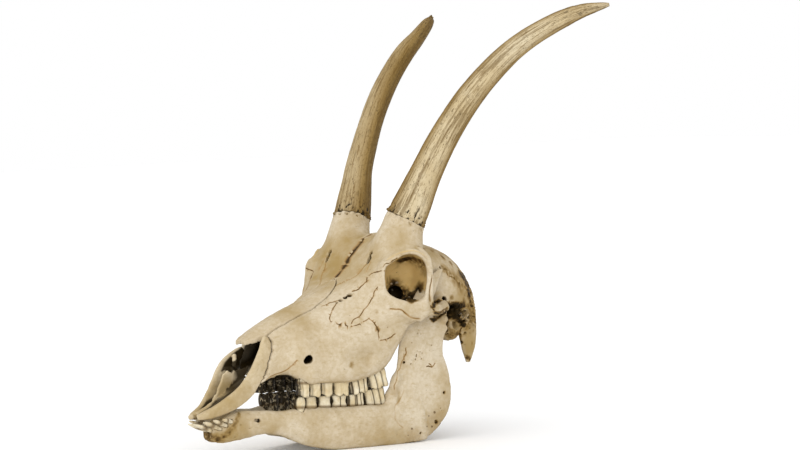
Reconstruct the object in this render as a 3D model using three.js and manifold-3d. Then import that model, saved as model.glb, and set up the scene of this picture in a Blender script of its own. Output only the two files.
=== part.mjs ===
// An antelope's skull with its two bare horn cores and its lower jaw, as cleaned bone.
// Millimetres, +Z up, -Y towards the muzzle, +X towards the animal's left side.
// The skull rests on the lower edges of its jaw, which lie on the plane z = 0.
import * as THREE from "three";
import { mergeVertices } from "three/addons/utils/BufferGeometryUtils.js";
import Module from "manifold-3d";

const wasm = await Module();
wasm.setup();

// The skull's middle plane is x = 0 and its eye sockets lie near y = -30 while it is modelled.
// This shift then puts the origin under the middle of the whole object.
const SHIFT = new THREE.Vector3(-6, 26.4, 0);

const GAP = 0.35; // clearance at every suture and socket
const NOSE_GAP = 0.6; // the open suture round the nose bones
const JAW_ROOM = 1.2; // clearance round the upright branch of the jaw
const HALF_GAP = 0.17; // half the clearance where two pieces meet on one plane
const LEFT = 1;
const RIGHT = -1;
const SIDES = [
  ["left", LEFT],
  ["right", RIGHT],
];

const bone = new THREE.MeshStandardMaterial({ color: 0xd8c8a2, roughness: 0.62, metalness: 0 });
const hornCore = new THREE.MeshStandardMaterial({ color: 0xc2ab7c, roughness: 0.78, metalness: 0 });
const enamel = new THREE.MeshStandardMaterial({ color: 0xe6dbbd, roughness: 0.38, metalness: 0 });

// ---------------------------------------------------------------- solids

// Closed geometry over a row of rings, each a list of points, with a fan over each end.
function skin(rings) {
  const around = rings[0].length;
  const points = rings.flat();
  const faces = [];
  for (let i = 0; i < rings.length - 1; i++)
    for (let j = 0; j < around; j++) {
      const a = i * around + j;
      const b = i * around + ((j + 1) % around);
      faces.push([a, b, b + around], [a, b + around, a + around]);
    }
  [0, rings.length - 1].forEach((end) => {
    const centre = rings[end].reduce((sum, p) => sum.add(p), new THREE.Vector3()).divideScalar(around);
    const hub = points.push(centre) - 1;
    for (let j = 0; j < around; j++) {
      const a = end * around + j;
      const b = end * around + ((j + 1) % around);
      faces.push(end ? [a, b, hub] : [b, a, hub]);
    }
  });
  return facingOut(points, faces);
}

// A geometry from points and triangles, turned so that its faces point outwards.
function facingOut(points, faces) {
  const volume = faces.reduce((sum, [a, b, c]) => {
    const turned = points[b].clone().cross(points[c]);
    return sum + points[a].dot(turned);
  }, 0);
  if (volume < 0) faces.forEach((f) => f.reverse());
  const geometry = new THREE.BufferGeometry().setFromPoints(points);
  geometry.setIndex(faces.flat());
  return geometry;
}

// A three.js geometry as a solid for booleans.
function solid(geometry) {
  const plain = geometry.clone();
  plain.deleteAttribute("normal");
  plain.deleteAttribute("uv");
  const merged = mergeVertices(plain, 1e-4);
  const mesh = new wasm.Mesh({
    numProp: 3,
    vertProperties: new Float32Array(merged.attributes.position.array),
    triVerts: new Uint32Array(merged.index.array),
  });
  return new wasm.Manifold(mesh);
}

// A solid as a named mesh.
function piece(name, shape, material) {
  const found = shape.getMesh();
  const geometry = new THREE.BufferGeometry();
  geometry.setAttribute("position", new THREE.BufferAttribute(found.vertProperties, 3));
  geometry.setIndex(new THREE.BufferAttribute(found.triVerts, 1));
  geometry.computeVertexNormals();
  const mesh = new THREE.Mesh(geometry, material);
  mesh.name = name;
  return mesh;
}

const joined = (shapes) => shapes.reduce((sum, s) => sum.add(s));
const point = (side, [x, y, z]) => new THREE.Vector3(side * x, y, z);

// A limb: oval rings square to a smooth path, one at each stop. A stop is
// [x, y, z, half width, half depth]. The depth is measured towards the direction "deep" and the
// width across it.
function limb(stops, { side = LEFT, deep = [0, 0, 1], around = 8, power = 2 } = {}) {
  const path = new THREE.CatmullRomCurve3(stops.map((s) => point(side, s)), false, "centripetal");
  const hint = point(side, deep).normalize();
  const rings = stops.map(([, , , halfWidth, halfDepth], i) => {
    const t = i / (stops.length - 1);
    const along = path.getTangent(t);
    const across = new THREE.Vector3().crossVectors(along, hint).normalize();
    const down = new THREE.Vector3().crossVectors(across, along).normalize();
    return oval(path.getPoint(t), across, down, halfWidth, halfDepth, around, power);
  });
  return skin(rings);
}

// One oval ring. A power over 2 squares its corners.
function oval(centre, across, down, halfWidth, halfDepth, around, power) {
  const ring = [];
  for (let j = 0; j < around; j++) {
    const turn = (2 * Math.PI * j) / around;
    const c = Math.cos(turn);
    const s = Math.sin(turn);
    const reach = (Math.abs(c) ** power + Math.abs(s) ** power) ** (-1 / power);
    ring.push(
      centre
        .clone()
        .addScaledVector(across, halfWidth * reach * c)
        .addScaledVector(down, halfDepth * reach * s),
    );
  }
  return ring;
}

// An egg: a sphere with three half sizes.
function egg({ at: [x, y, z], half }, side) {
  return new THREE.SphereGeometry(1, 8, 5).scale(...half).translate(side * x, y, z);
}

// A hull of sections across the head. Each section is { y, half: [[x, z], ...] }, half an outline
// from the top of the middle plane to its bottom, which is mirrored into a whole one.
function sections(table) {
  const rings = table.map(({ y, half }) => {
    const left = half.map(([x, z]) => new THREE.Vector3(x, y, z));
    const right = half.slice(1, -1).map(([x, z]) => new THREE.Vector3(-x, y, z));
    return [...left, ...right.reverse()];
  });
  return skin(rings);
}

// ---------------------------------------------------------------- the head's driving sections

// Face and eye-socket block, from the muzzle end of the upper jaw to behind the eye sockets.
const FACE = [
  { y: -140, half: [[0, 76], [8, 75], [12, 70.5], [15, 64], [16.5, 56], [16, 47.5], [12, 46.5], [0, 49]] },
  { y: -128, half: [[0, 84], [10, 80.5], [14.5, 75], [17.5, 67], [18.5, 59], [18, 52], [13, 51.5], [0, 53]] },
  { y: -118, half: [[0, 89], [11.5, 84.5], [17.5, 77], [21, 68], [22, 60], [21, 54.8], [15, 54.3], [0, 56]] },
  { y: -110, half: [[0, 92.3], [12.5, 87.5], [20, 79], [25, 69], [27, 60], [25.5, 52.8], [18, 52.5], [0, 57]] },
  { y: -105, half: [[0, 94.5], [13, 89.3], [22, 81], [28.5, 71], [31, 60], [30.5, 47], [18, 47.5], [0, 56.5]] },
  { y: -94, half: [[0, 98.2], [13, 93], [22, 85.5], [29.5, 74], [33, 61], [32.5, 44.8], [19, 45.5], [0, 56]] },
  { y: -80, half: [[0, 103], [13, 98.5], [22.5, 93], [32, 80], [36, 62], [35.5, 44.8], [21, 45.5], [0, 56]] },
  { y: -66, half: [[0, 108.5], [13, 106], [25, 101], [35, 88], [39.5, 68], [38, 44.9], [23, 45.5], [0, 56]] },
  { y: -55, half: [[0, 113.5], [14, 112.5], [26, 109.5], [37, 98], [41.5, 78], [39, 48], [25, 48.5], [0, 57]] },
  { y: -46, half: [[0, 120.5], [15, 120], [34, 118], [43.5, 108], [45, 88], [39.5, 51], [26, 52], [0, 60]] },
  { y: -38, half: [[0, 130], [18, 130.5], [41, 127], [48, 112], [50, 90], [39, 58], [24, 58], [0, 66]] },
  { y: -28, half: [[0, 138], [20, 138], [47, 131.5], [53, 114], [54, 90], [40, 75], [22, 71], [0, 76]] },
  { y: -18, half: [[0, 143], [22, 139], [48, 131], [54.5, 115], [56, 90], [34, 85], [18, 80], [0, 80]] },
  { y: -12, half: [[0, 143], [20, 138], [34, 129], [36, 115], [34, 95], [26, 88], [16, 82], [0, 82]] },
];

// The space inside the nose, open at the muzzle.
const NOSE_SPACE = [
  { y: -150, half: [[0, 84], [8, 80], [11, 70], [12, 56], [8, 52], [0, 52]] },
  { y: -128, half: [[0, 84], [9, 79], [13, 70], [13.5, 61], [9, 56.5], [0, 56.5]] },
  { y: -112, half: [[0, 90], [11, 84], [17.5, 74], [19, 64], [13, 60.5], [0, 60.5]] },
  { y: -94, half: [[0, 95], [11, 90], [20, 78], [23, 64], [14, 59.5], [0, 59.5]] },
  { y: -76, half: [[0, 101], [11, 97], [22, 84], [26, 66], [15, 59.5], [0, 59.5]] },
  { y: -62, half: [[0, 105], [10, 102], [20, 92], [24, 74], [16, 62], [0, 61]] },
];

// The passage from the nose to the throat.
const THROAT_PASSAGE = [
  { y: -66, half: [[0, 72], [8, 70], [10, 66], [8, 61.5], [0, 61]] },
  { y: -45, half: [[0, 74], [8, 72], [10, 68], [8, 63], [0, 62.5]] },
  { y: -22, half: [[0, 78], [8, 77], [10, 72], [9, 60], [0, 58]] },
];

const BRAINCASE = [
  { y: -25, half: [[0, 139], [14, 134], [20, 122], [18, 104], [12, 88], [0, 82]] },
  { y: -5, half: [[0, 141], [17, 136], [26, 122], [24, 102], [15, 84], [0, 76]] },
  { y: 10, half: [[0, 137.5], [19, 132], [31, 117], [30, 97], [20, 78], [0, 71]] },
  { y: 25, half: [[0, 133], [19, 128], [33, 113], [34, 95], [24, 76], [0, 69]] },
  { y: 38, half: [[0, 127.5], [18, 122], [30, 108], [32, 92], [24, 74], [0, 68]] },
  { y: 48, half: [[0, 119.5], [14, 115], [24, 102], [28, 88], [20, 73], [0, 68]] },
  { y: 53, half: [[0, 112], [9, 109.5], [17, 99], [20, 86], [15, 73], [0, 70]] },
  { y: 56, half: [[0, 102], [7, 99], [11, 92], [12, 84], [8, 76], [0, 73]] },
];

const BRAIN_SPACE = [
  { y: 0, half: [[0, 128], [13, 122], [18, 108], [14, 92], [0, 86]] },
  { y: 22, half: [[0, 127], [18, 121], [28, 104], [22, 82], [0, 76]] },
  { y: 40, half: [[0, 117], [14, 111], [24, 98], [20, 80], [0, 75]] },
  { y: 50, half: [[0, 103], [8, 100], [12, 91], [10, 81], [0, 77]] },
];

// Edge of the left eye socket, as seen from outside, and the way it faces.
const SOCKET_EDGE = [
  [42, -43.8, 122], [42, -44.5, 113], [43, -43.8, 106], [46, -41, 101.6], [50, -34.2, 98.1],
  [53, -27.5, 96.8], [56, -20, 100], [57, -17.3, 109], [57, -16.6, 118.3], [56, -17.5, 124.6],
  [54, -20.8, 129.3], [51, -25.3, 131.3], [47, -30.2, 130.8], [44, -35, 128.2], [42.5, -39.5, 125.5],
];
const SOCKET_FACES = new THREE.Vector3(0.87, -0.49, 0.05).normalize();
// Rings of the socket's space: how deep each lies, and its size against the edge's.
const SOCKET_RINGS = [[-9, 0.8], [0, 0.93], [11, 0.97], [25, 0.72], [37, 0.34]];
const SOCKET_RIM = 1.7; // half thickness of the raised rim round a socket

function socketSpace(side) {
  const edge = SOCKET_EDGE.map((p) => point(side, p));
  const centre = edge.reduce((sum, p) => sum.add(p), new THREE.Vector3()).divideScalar(edge.length);
  const inward = SOCKET_FACES.clone().multiply(new THREE.Vector3(-side, -1, -1));
  const rings = SOCKET_RINGS.map(([depth, share]) =>
    edge.map((p) => p.clone().sub(centre).multiplyScalar(share).add(centre).addScaledVector(inward, depth)),
  );
  return solid(skin(rings));
}

// The raised rim: a closed tube along the socket's edge.
function socketRim(side) {
  const path = new THREE.CatmullRomCurve3(SOCKET_EDGE.map((p) => point(side, p)), true, "centripetal");
  return solid(new THREE.TubeGeometry(path, SOCKET_EDGE.length - 1, SOCKET_RIM, 5, true));
}

// ---------------------------------------------------------------- limbs of the head, for the left side

// A horn core and its pedicle are oval, with the long way across their rings lying along ACROSS.
const ACROSS = [0.64, 0.77, 0];
const THROUGH = [-ACROSS[1], ACROSS[0], 0];
const PEDICLE = [
  [23, -22, 118, 19, 18],
  [27, -18.5, 134, 18, 16.5],
  [28.9, -14.8, 147, 15.2, 14.4],
  [30.2, -10.8, 157, 13.9, 13],
  [31.2, -9, 161, 13.7, 12.8],
];
const CHEEK_ARCH = [
  [32, -58, 90, 3, 6],
  [43.5, -43, 90, 4, 8],
  [53, -29, 91.5, 3.6, 6.5],
  [56, -18, 92.5, 2.8, 5],
  [55, -8, 91.5, 2.4, 3.8],
  [50, 3, 91, 2.6, 3.4],
  [42, 9.5, 92.5, 4, 4],
  [30, 14, 94, 7, 6],
];
const BAR_BEHIND_EYE = [
  [44, -14, 131, 5, 5],
  [54, -13.5, 126, 3.4, 4],
  [58.5, -13, 113, 2.6, 3.8],
  [57.5, -14, 101, 2.6, 3.8],
  [55.5, -16, 90, 3, 5],
];
const NECK_CREST = [
  [0, 51, 115, 3, 3],
  [12.5, 49.5, 110.5, 3, 3],
  [19, 49.5, 102.5, 3, 3],
  [25, 47.5, 94.5, 3.2, 3],
  [30.5, 44, 85, 3.4, 3.2],
  [31, 43, 76, 4, 3.6],
];
const JAW_SEAT = [
  [28, 10, 92, 6, 4.5],
  [38, 9.5, 91.5, 5.5, 3],
  [47, 8, 91, 4, 2.6],
];
const NECK_PROCESS = [
  [28, 41, 86, 3.6, 7],
  [28.3, 41.5, 75, 3, 8.2],
  [26.5, 43.7, 64, 2.6, 6.8],
  [24, 45.4, 54, 2, 3.8],
  [22.8, 46, 49.4, 1.4, 1.8],
];
const EAR_TUBE = [
  [24, 31, 84.5, 5.5, 5.5],
  [33, 32, 84.5, 4.6, 4.6],
  [39, 33, 84, 4.3, 4.3],
];
const EAR_BORE = [
  [30, 31.7, 84.5, 2.5, 2.5],
  [42, 33.4, 84, 2.7, 2.7],
];
const WING_PLATE = [
  [10, -42, 58, 1.5, 6],
  [10, -28, 63, 1.5, 8],
  [9.5, -12, 72, 1.6, 8],
  [9, 4, 78, 2.5, 5],
];
const BULLA = { at: [22, 29, 73.5], half: [7.5, 9, 8] };
const NECK_CONDYLE = { at: [10.5, 53, 76.5], half: [5.5, 7, 8.5] };
const NECK_HOLE = [
  [0, 40, 86, 8, 8],
  [0, 52, 82, 8.5, 8],
  [0, 72, 76, 9, 9],
];
const BROW_HOLE = [
  [23, -44, 129, 1.2, 2.6],
  [24, -33, 129, 1.2, 2.6],
];
const CHEEK_HOLE = [
  [28, -96, 64, 1.6, 2.6],
  [35, -106, 62.5, 2, 3],
];

// ---------------------------------------------------------------- nose bones and muzzle bones

// Left nose bone: the height of its inner edge, and its outer edge's reach and height.
const NOSE_BONE = [
  { y: -137, inner: 78, reach: 6, outer: 75.6 },
  { y: -129, inner: 84.3, reach: 10.5, outer: 80 },
  { y: -118, inner: 89.2, reach: 12, outer: 84.3 },
  { y: -107, inner: 93.7, reach: 12.6, outer: 88.8 },
  { y: -94, inner: 98.4, reach: 12.8, outer: 93.3 },
  { y: -80, inner: 103.2, reach: 13, outer: 98.7 },
  { y: -66, inner: 108.7, reach: 11, outer: 106.2 },
  { y: -58, inner: 112, reach: 7.5, outer: 111.2 },
  { y: -54, inner: 113.9, reach: 3, outer: 113.6 },
];
const NOSE_BONE_THICK = 2.2;
const NOSE_BONE_RIDGE = { reach: 0.55, drop: 0.3 }; // where the bone's outer face bends
const NOSE_BONE_HEADROOM = 2.4; // how far above the bone its bed in the skull is cut

// A nose bone, or with a gap its bed in the skull, which runs over the middle plane.
function noseBone(side, gap) {
  const last = NOSE_BONE.length - 1;
  const edge = gap ? -1 : HALF_GAP;
  const lift = gap ? NOSE_BONE_HEADROOM : 0;
  const rings = NOSE_BONE.map(({ y, inner, reach, outer }, i) => {
    const bend = [reach * NOSE_BONE_RIDGE.reach, inner - NOSE_BONE_RIDGE.drop * (inner - outer)];
    const end = i === last ? gap : 0;
    const top = [[edge, inner], bend, [reach + gap, outer]];
    const bottom = [...top].reverse().map(([x, z]) => [x, z - NOSE_BONE_THICK - gap]);
    const outline = [...top.map(([x, z]) => [x, z + lift]), ...bottom];
    return outline.map(([x, z]) => new THREE.Vector3(side * x, i ? y + end : y - gap, z));
  });
  return solid(skin(rings));
}

// Left muzzle bone: a bar from the tip of the muzzle up the front of the upper jaw.
const MUZZLE_BAR = [
  [3.4, -178.2, 29.6, 2, 1.5],
  [6, -174, 30.8, 3, 2.6],
  [9.6, -164.8, 33.6, 2.8, 4.2],
  [12.2, -154.6, 38.4, 2.4, 5.2],
  [13.9, -146.8, 44, 2.1, 5.7],
  [15.1, -139.6, 51.6, 2, 5.8],
  [15.5, -133, 61, 1.9, 5.6],
  [15, -128.4, 69.4, 1.7, 5.2],
  [14, -126.4, 75.4, 1.4, 4],
  [13, -125.6, 78.6, 1.1, 2.4],
];
const PALATE_ROD = [
  [3.4, -174, 30.8, 2, 1.4],
  [3, -160, 36.5, 1.7, 1.8],
  [2.8, -145, 44, 1.5, 2.4],
  [2.6, -128, 52.5, 1.2, 2],
];
// The suture between muzzle bone and upper jaw, as two points of its line seen from the side.
const MUZZLE_SUTURE = { low: [-136.2, 46.5], high: [-120.6, 80] };

// Everything before the suture on one side, less a margin, as a wedge used for cutting.
// Above its bend the wedge's rear face is upright.
const WEDGE = { front: -200, bottom: 20, bend: 76, top: 130, width: 80, pastMiddle: 0.5 };

function beforeSuture(side, margin) {
  const { low, high } = MUZZLE_SUTURE;
  const slope = (high[0] - low[0]) / (high[1] - low[1]);
  const rearAt = (z) => low[0] + slope * (z - low[1]) - margin;
  const outline = [
    [WEDGE.front, WEDGE.bottom],
    [rearAt(WEDGE.bottom), WEDGE.bottom],
    [rearAt(WEDGE.bend), WEDGE.bend],
    [rearAt(WEDGE.bend), WEDGE.top],
    [WEDGE.front, WEDGE.top],
  ];
  const shape = new THREE.Shape(outline.map(([y, z]) => new THREE.Vector2(y, z)));
  const slab = new THREE.ExtrudeGeometry(shape, { depth: WEDGE.width, bevelEnabled: false });
  const [x, y, z] = [0, 1, 2].map((k) => new THREE.Vector3().setComponent(k, 1));
  slab.applyMatrix4(new THREE.Matrix4().makeBasis(y, z, x));
  slab.translate(side === LEFT ? -WEDGE.pastMiddle : WEDGE.pastMiddle - WEDGE.width, 0, 0);
  return solid(slab);
}

// ---------------------------------------------------------------- horn cores

// Stops of the left horn core's middle line: x, y, z and its half thickness across and along the head.
const HORN = [
  [29.3, -12.4, 153.5, 13.9, 13],
  [32.3, -7.2, 165, 13, 12],
  [34.8, -2.6, 176, 12, 10.7],
  [37.6, 2.2, 187, 11.1, 9.7],
  [40.8, 10.8, 203, 10.4, 8.9],
  [44.6, 20.6, 219, 9.8, 8.3],
  [48.7, 32.3, 235, 9.4, 8],
  [53.4, 46.9, 251, 8.7, 7.5],
  [58.9, 65.2, 267, 7.8, 6.8],
  [64.6, 82, 278, 7.1, 6.3],
  [74.8, 101, 288.5, 6.1, 5.5],
  [82.2, 112.8, 293.4, 4.5, 4.2],
  [91.5, 123.6, 296.3, 2.1, 2],
  [94, 126.2, 296.8, 1.1, 1.1],
];
// The right core has lost its tip beyond this stop, and ends in a slanting break.
const BREAK_STOP = 10;
const BREAK_END = [[79, 107.5, 291.5, 4, 3.6], [81.6, 111.4, 294.4, 1.5, 1.4]];

function horn(side) {
  const whole = side === LEFT;
  const stops = whole ? HORN : [...HORN.slice(0, BREAK_STOP + 1), ...BREAK_END];
  const start = new THREE.Vector3(...HORN[0]);
  const next = new THREE.Vector3(...HORN[1]);
  const lift = next.sub(start).normalize().multiplyScalar(HALF_GAP);
  const [x, y, z, ...sizes] = stops[0];
  const first = [x + lift.x, y + lift.y, z + lift.z, ...sizes];
  return solid(limb([first, ...stops.slice(1)], { side, deep: THROUGH, around: 12 }));
}

// The pedicle is cut off just under the horn core, square to the core's middle line.
const LID = { radius: 40, height: 30 };

function pedicle(side) {
  const body = solid(limb(PEDICLE, { side, deep: THROUGH, around: 12 }));
  const axis = point(side, HORN[1]).sub(point(side, HORN[0])).normalize();
  const seam = point(side, HORN[0]).addScaledVector(axis, -HALF_GAP);
  const lid = new THREE.CylinderGeometry(LID.radius, LID.radius, LID.height, 8);
  lid.translate(0, LID.height / 2, 0);
  lid.applyQuaternion(new THREE.Quaternion().setFromUnitVectors(new THREE.Vector3(0, 1, 0), axis));
  lid.translate(seam.x, seam.y, seam.z);
  return body.subtract(solid(lid));
}

// ---------------------------------------------------------------- teeth

// Heights of the bite line along the jaw.
const BITE = [[-112, 38.6], [-85, 37.6], [-65, 36.6], [-55, 38.2], [-36, 41]];
const biteHeight = (y) => {
  const at = BITE.findIndex(([end]) => y <= end);
  const [y1, z1] = BITE[Math.max(at, 1)];
  const [y0, z0] = BITE[Math.max(at, 1) - 1];
  return z0 + ((y - y0) / (y1 - y0)) * (z1 - z0);
};

// Cheek teeth from front to back: name, length along the jaw, number of lobes.
const UPPER = [
  ["premolar_2", 7.5, 1], ["premolar_3", 9.5, 1], ["premolar_4", 9.5, 1],
  ["molar_1", 13, 2], ["molar_2", 14.5, 2], ["molar_3", 15.5, 2],
];
const LOWER = [
  ["premolar_2", 7.5, 1], ["premolar_3", 9.5, 1], ["premolar_4", 10.5, 1],
  ["molar_1", 12.5, 2], ["molar_2", 13.5, 2], ["molar_3", 17, 3],
];
const TOOTH_GAP = 0.4; // between neighbouring cheek teeth
const BITE_CLEARANCE = 0.3; // between a tooth's biting face and the bite line
const ROOT_SHARE = 0.85; // a root's width against its crown's
const LOBE_DIP = 0.8; // a tooth's width between its lobes against its full width
// Each row: the two ends of its middle line as y and x, where its gum line bends, half its width,
// how far its roots reach up (or down) from the gum line, and the gum line's height.
const UPPER_ROW = {
  teeth: UPPER,
  from: [-107.8, 23.6],
  to: [-38.3, 30.8],
  bend: -58,
  half: 5.4,
  root: 5.6,
  gum: (y) => 45 + Math.max(0, (y + 58) / 20) * 6,
};
const LOWER_ROW = {
  teeth: LOWER,
  from: [-107.8, 18.4],
  to: [-37.3, 29.6],
  bend: -70,
  half: 4,
  root: -5.6,
  gum: (y) => 31 - ((y + 108) / 70) * 4,
};

const rowX = (row, y) => {
  const share = (y - row.from[0]) / (row.to[0] - row.from[0]);
  return row.from[1] + share * (row.to[1] - row.from[1]);
};

// A cheek tooth: its waisted outline carried from the bite into the jaw, narrower at the root.
function cheekTooth(side, row, start, length, lobes) {
  const middle = start + length / 2;
  const half = length / 2 - TOOTH_GAP / 2;
  const levels = [
    [(y) => biteHeight(y) + Math.sign(row.root) * BITE_CLEARANCE, 1],
    [(y) => row.gum(y) + row.root, ROOT_SHARE],
  ];
  const corners = lobes * 2 + 1;
  const rings = levels.map(([height, share]) => {
    const outline = [];
    for (const face of [1, -1])
      for (let i = 0; i < corners; i++) {
        const dip = i % 2 === 0 ? LOBE_DIP : 1;
        const across = face * row.half * dip * share;
        const y = middle + face * (1 - (2 * i) / (corners - 1)) * half * share;
        outline.push(new THREE.Vector3(side * (rowX(row, y) + across), y, height(y)));
      }
    return outline;
  });
  return solid(skin(rings));
}

function toothRow(side, row) {
  let start = row.from[0];
  return row.teeth.map(([name, length, lobes]) => {
    const shape = cheekTooth(side, row, start, length, lobes);
    start += length;
    return [name, shape];
  });
}

// The trough in the jaw that a row of cheek teeth stands in.
const TROUGH_MOUTH = 4; // how far past the bite line the trough is cut

function toothTrough(side, row) {
  const rootwards = Math.sign(row.root);
  const stations = [row.from[0] - GAP, row.bend, row.to[0] + GAP];
  const outline = [...stations.map((y) => [y, 1]), ...stations.reverse().map((y) => [y, -1])];
  const levels = [
    [(y) => biteHeight(y) - rootwards * TROUGH_MOUTH, row.half + GAP],
    [row.gum, row.half + GAP],
    [(y) => row.gum(y) + row.root + rootwards * 2 * GAP, row.half * ROOT_SHARE + 2 * GAP],
  ];
  const rings = levels.map(([height, half]) =>
    outline.map(([y, face]) => new THREE.Vector3(side * (rowX(row, y) + face * half), y, height(y))),
  );
  return solid(skin(rings));
}

// Front teeth of the lower jaw, fanning forwards: root, tip, half width of the crown.
const FRONT_TEETH = [
  ["incisor_1", [2.9, -163, 18.6, 1.5], [3.3, -179.6, 25, 2.9]],
  ["incisor_2", [5.6, -161, 20.6, 1.4], [8.4, -175.4, 26.4, 2.3]],
  ["incisor_3", [7.6, -158, 23, 1.3], [11.4, -169.6, 27.2, 1.8]],
  ["canine", [9.2, -154.5, 25.2, 1.1], [13.4, -163.4, 27.4, 1.4]],
];

// A front tooth, or with a gap its socket. Each stop lies a share of the way from root to tip.
function frontTooth(side, root, tip, gap = 0) {
  const at = (share) => [0, 1, 2].map((k) => root[k] + (tip[k] - root[k]) * share);
  const stop = (share, wide, thick) => [...at(share), wide + gap, thick + gap];
  const stops = [
    stop(gap ? -0.23 : -0.18, root[3] * 0.8, 1.2),
    stop(0.35, root[3], 1.5),
    stop(0.62, tip[3], 1.4),
    stop(1, tip[3] * 0.9, 0.5),
  ];
  return solid(limb(stops, { side, around: 6 }));
}

// ---------------------------------------------------------------- lower jaw

// The body of the left half of the lower jaw: middle, half thickness and half height.
const JAW_BODY = [
  [2.8, -167, 18.4, 2.3, 5],
  [4, -160, 18.2, 3.5, 7.4],
  [6.6, -150, 20.8, 4.6, 9.4],
  [9, -141, 22.2, 4.2, 9.2],
  [12, -130, 22.6, 4, 8],
  [15.5, -119, 21.3, 4.2, 8.2],
  [18.6, -109, 19.5, 5, 10.6],
  [22.2, -97, 17.2, 5.6, 13.2],
  [26.2, -81, 15, 6, 14.4],
  [30.8, -60, 14, 6, 14.4],
  [34.6, -42, 13.8, 5.8, 14.2],
  [37.4, -26, 14.8, 4.6, 15.2],
  [39, -13, 17, 4.2, 15.6],
];
// Lift of the right half's underside, which is arched further back than the left half's.
const RIGHT_ARCH = { from: -126, to: -62, lift: 5 };
// Level rings of the jaw's upright branch and the spur on top of it.
const JAW_BRANCH = [
  { z: 1.8, front: -34, rear: -9.6, x: 37.4, half: 3.4 },
  { z: 6.4, front: -38, rear: -2.1, x: 37.8, half: 4.2 },
  { z: 12.6, front: -40, rear: 4.1, x: 38.2, half: 4.4 },
  { z: 20.6, front: -40, rear: 9.4, x: 38.8, half: 4.2 },
  { z: 30, front: -37, rear: 11.9, x: 39.2, half: 3.7 },
  { z: 41, front: -35.4, rear: 11, x: 39.5, half: 3.3 },
  { z: 50, front: -32, rear: 8.6, x: 39.9, half: 3 },
  { z: 60, front: -30.2, rear: 5.4, x: 40.2, half: 2.8 },
  { z: 70, front: -28.4, rear: 6.8, x: 40.3, half: 2.7 },
  { z: 79, front: -25.4, rear: 9.8, x: 40, half: 2.6 },
  { z: 86, front: -21.6, rear: -0.4, x: 38.4, half: 2.2 },
  { z: 95, front: -16, rear: 1.8, x: 37, half: 1.9 },
  { z: 104, front: -8, rear: 6.5, x: 35.8, half: 1.6 },
  { z: 112, front: 2, rear: 11.6, x: 35, half: 1.4 },
  { z: 117.4, front: 11, rear: 15.4, x: 34.6, half: 1 },
];
const BRANCH_SLANT = 0.15; // the branch's rear end stands further out than its front
const BODY_POWER = 2.5; // squareness of the jaw's rings
const BRANCH_POWER = 2.3;
const CONDYLE = { at: [42, 8.8, 83.2], half: [8.6, 4.6, 3.8] };
const CHEEK_BORE = [[6, -131, 24.4, 1.4, 1.4], [15, -134.5, 24.6, 1.6, 1.6]];

function jawBody(side) {
  const { from, to, lift } = RIGHT_ARCH;
  const stops = JAW_BODY.map(([x, y, z, thick, high]) => {
    const arched = side === RIGHT && y > from && y < to ? lift / 2 : 0;
    return [x, y, z + arched, thick, high - arched];
  });
  return solid(limb(stops, { side, around: 10, power: BODY_POWER }));
}

function jawBranch(side, grow) {
  const along = new THREE.Vector3(side * BRANCH_SLANT, 1, 0);
  const across = new THREE.Vector3(1, 0, 0);
  const top = JAW_BRANCH.length - 1;
  const rings = JAW_BRANCH.map(({ z, front, rear, x, half }, i) => {
    const centre = new THREE.Vector3(side * x, (front + rear) / 2, i === top ? z + grow : z);
    return oval(centre, across, along, half + grow, (rear - front) / 2 + grow, 10, BRANCH_POWER);
  });
  return solid(skin(rings));
}

// ---------------------------------------------------------------- assembly

function cranium() {
  const muzzleCut = SIDES.map(([, side]) => beforeSuture(side, 0));
  const tube = (stops, options) => SIDES.map(([, side]) => solid(limb(stops, { ...options, side })));
  const eggs = (shape) => SIDES.map(([, side]) => solid(egg(shape, side)));
  const sockets = SIDES.map(([, side]) => socketSpace(side));
  let head = solid(sections(FACE)).add(joined(SIDES.map(([, side]) => pedicle(side))));
  head = head.subtract(joined(sockets));
  head = joined([
    head,
    solid(sections(BRAINCASE)),
    ...tube(CHEEK_ARCH, { around: 7 }),
    ...tube(BAR_BEHIND_EYE, { deep: [0, 1, 0], around: 6 }),
    ...tube(NECK_CREST, { deep: [0, 0, 1], around: 6 }),
    ...tube(JAW_SEAT, { around: 6 }),
    ...tube(NECK_PROCESS, { deep: [0, 1, 0], around: 6 }),
    ...tube(EAR_TUBE, { around: 8 }),
    ...tube(WING_PLATE, { around: 6 }),
    ...SIDES.map(([, side]) => socketRim(side)),
    ...eggs(BULLA),
    ...eggs(NECK_CONDYLE),
  ]);
  const holes = [
    solid(sections(NOSE_SPACE)),
    solid(sections(THROAT_PASSAGE)),
    solid(sections(BRAIN_SPACE)),
    solid(limb(NECK_HOLE, { around: 10 })),
    ...tube(EAR_BORE, { around: 8 }),
    ...tube(BROW_HOLE, { around: 6 }),
    ...tube(CHEEK_HOLE, { around: 6 }),
    ...muzzleCut,
    ...SIDES.map(([, side]) => noseBone(side, NOSE_GAP)),
    ...SIDES.map(([, side]) => jawBranch(side, JAW_ROOM)),
    ...SIDES.map(([, side]) => toothTrough(side, UPPER_ROW)),
  ];
  return holes.reduce((rest, hole) => rest.subtract(hole), head);
}

// Everything beyond the middle plane, less half a gap, seen from one side.
function beyondMiddle(side) {
  const size = 600;
  return solid(new THREE.BoxGeometry(size, size, size).translate(side * (HALF_GAP - size / 2), 0, 0));
}

function muzzleBone(side) {
  const bar = solid(limb(MUZZLE_BAR, { side, deep: [0, -0.5, 0.86], around: 7 }));
  const rod = solid(limb(PALATE_ROD, { side, around: 6 }));
  return bar.add(rod).intersect(beforeSuture(side, GAP)).subtract(beyondMiddle(side));
}

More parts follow.
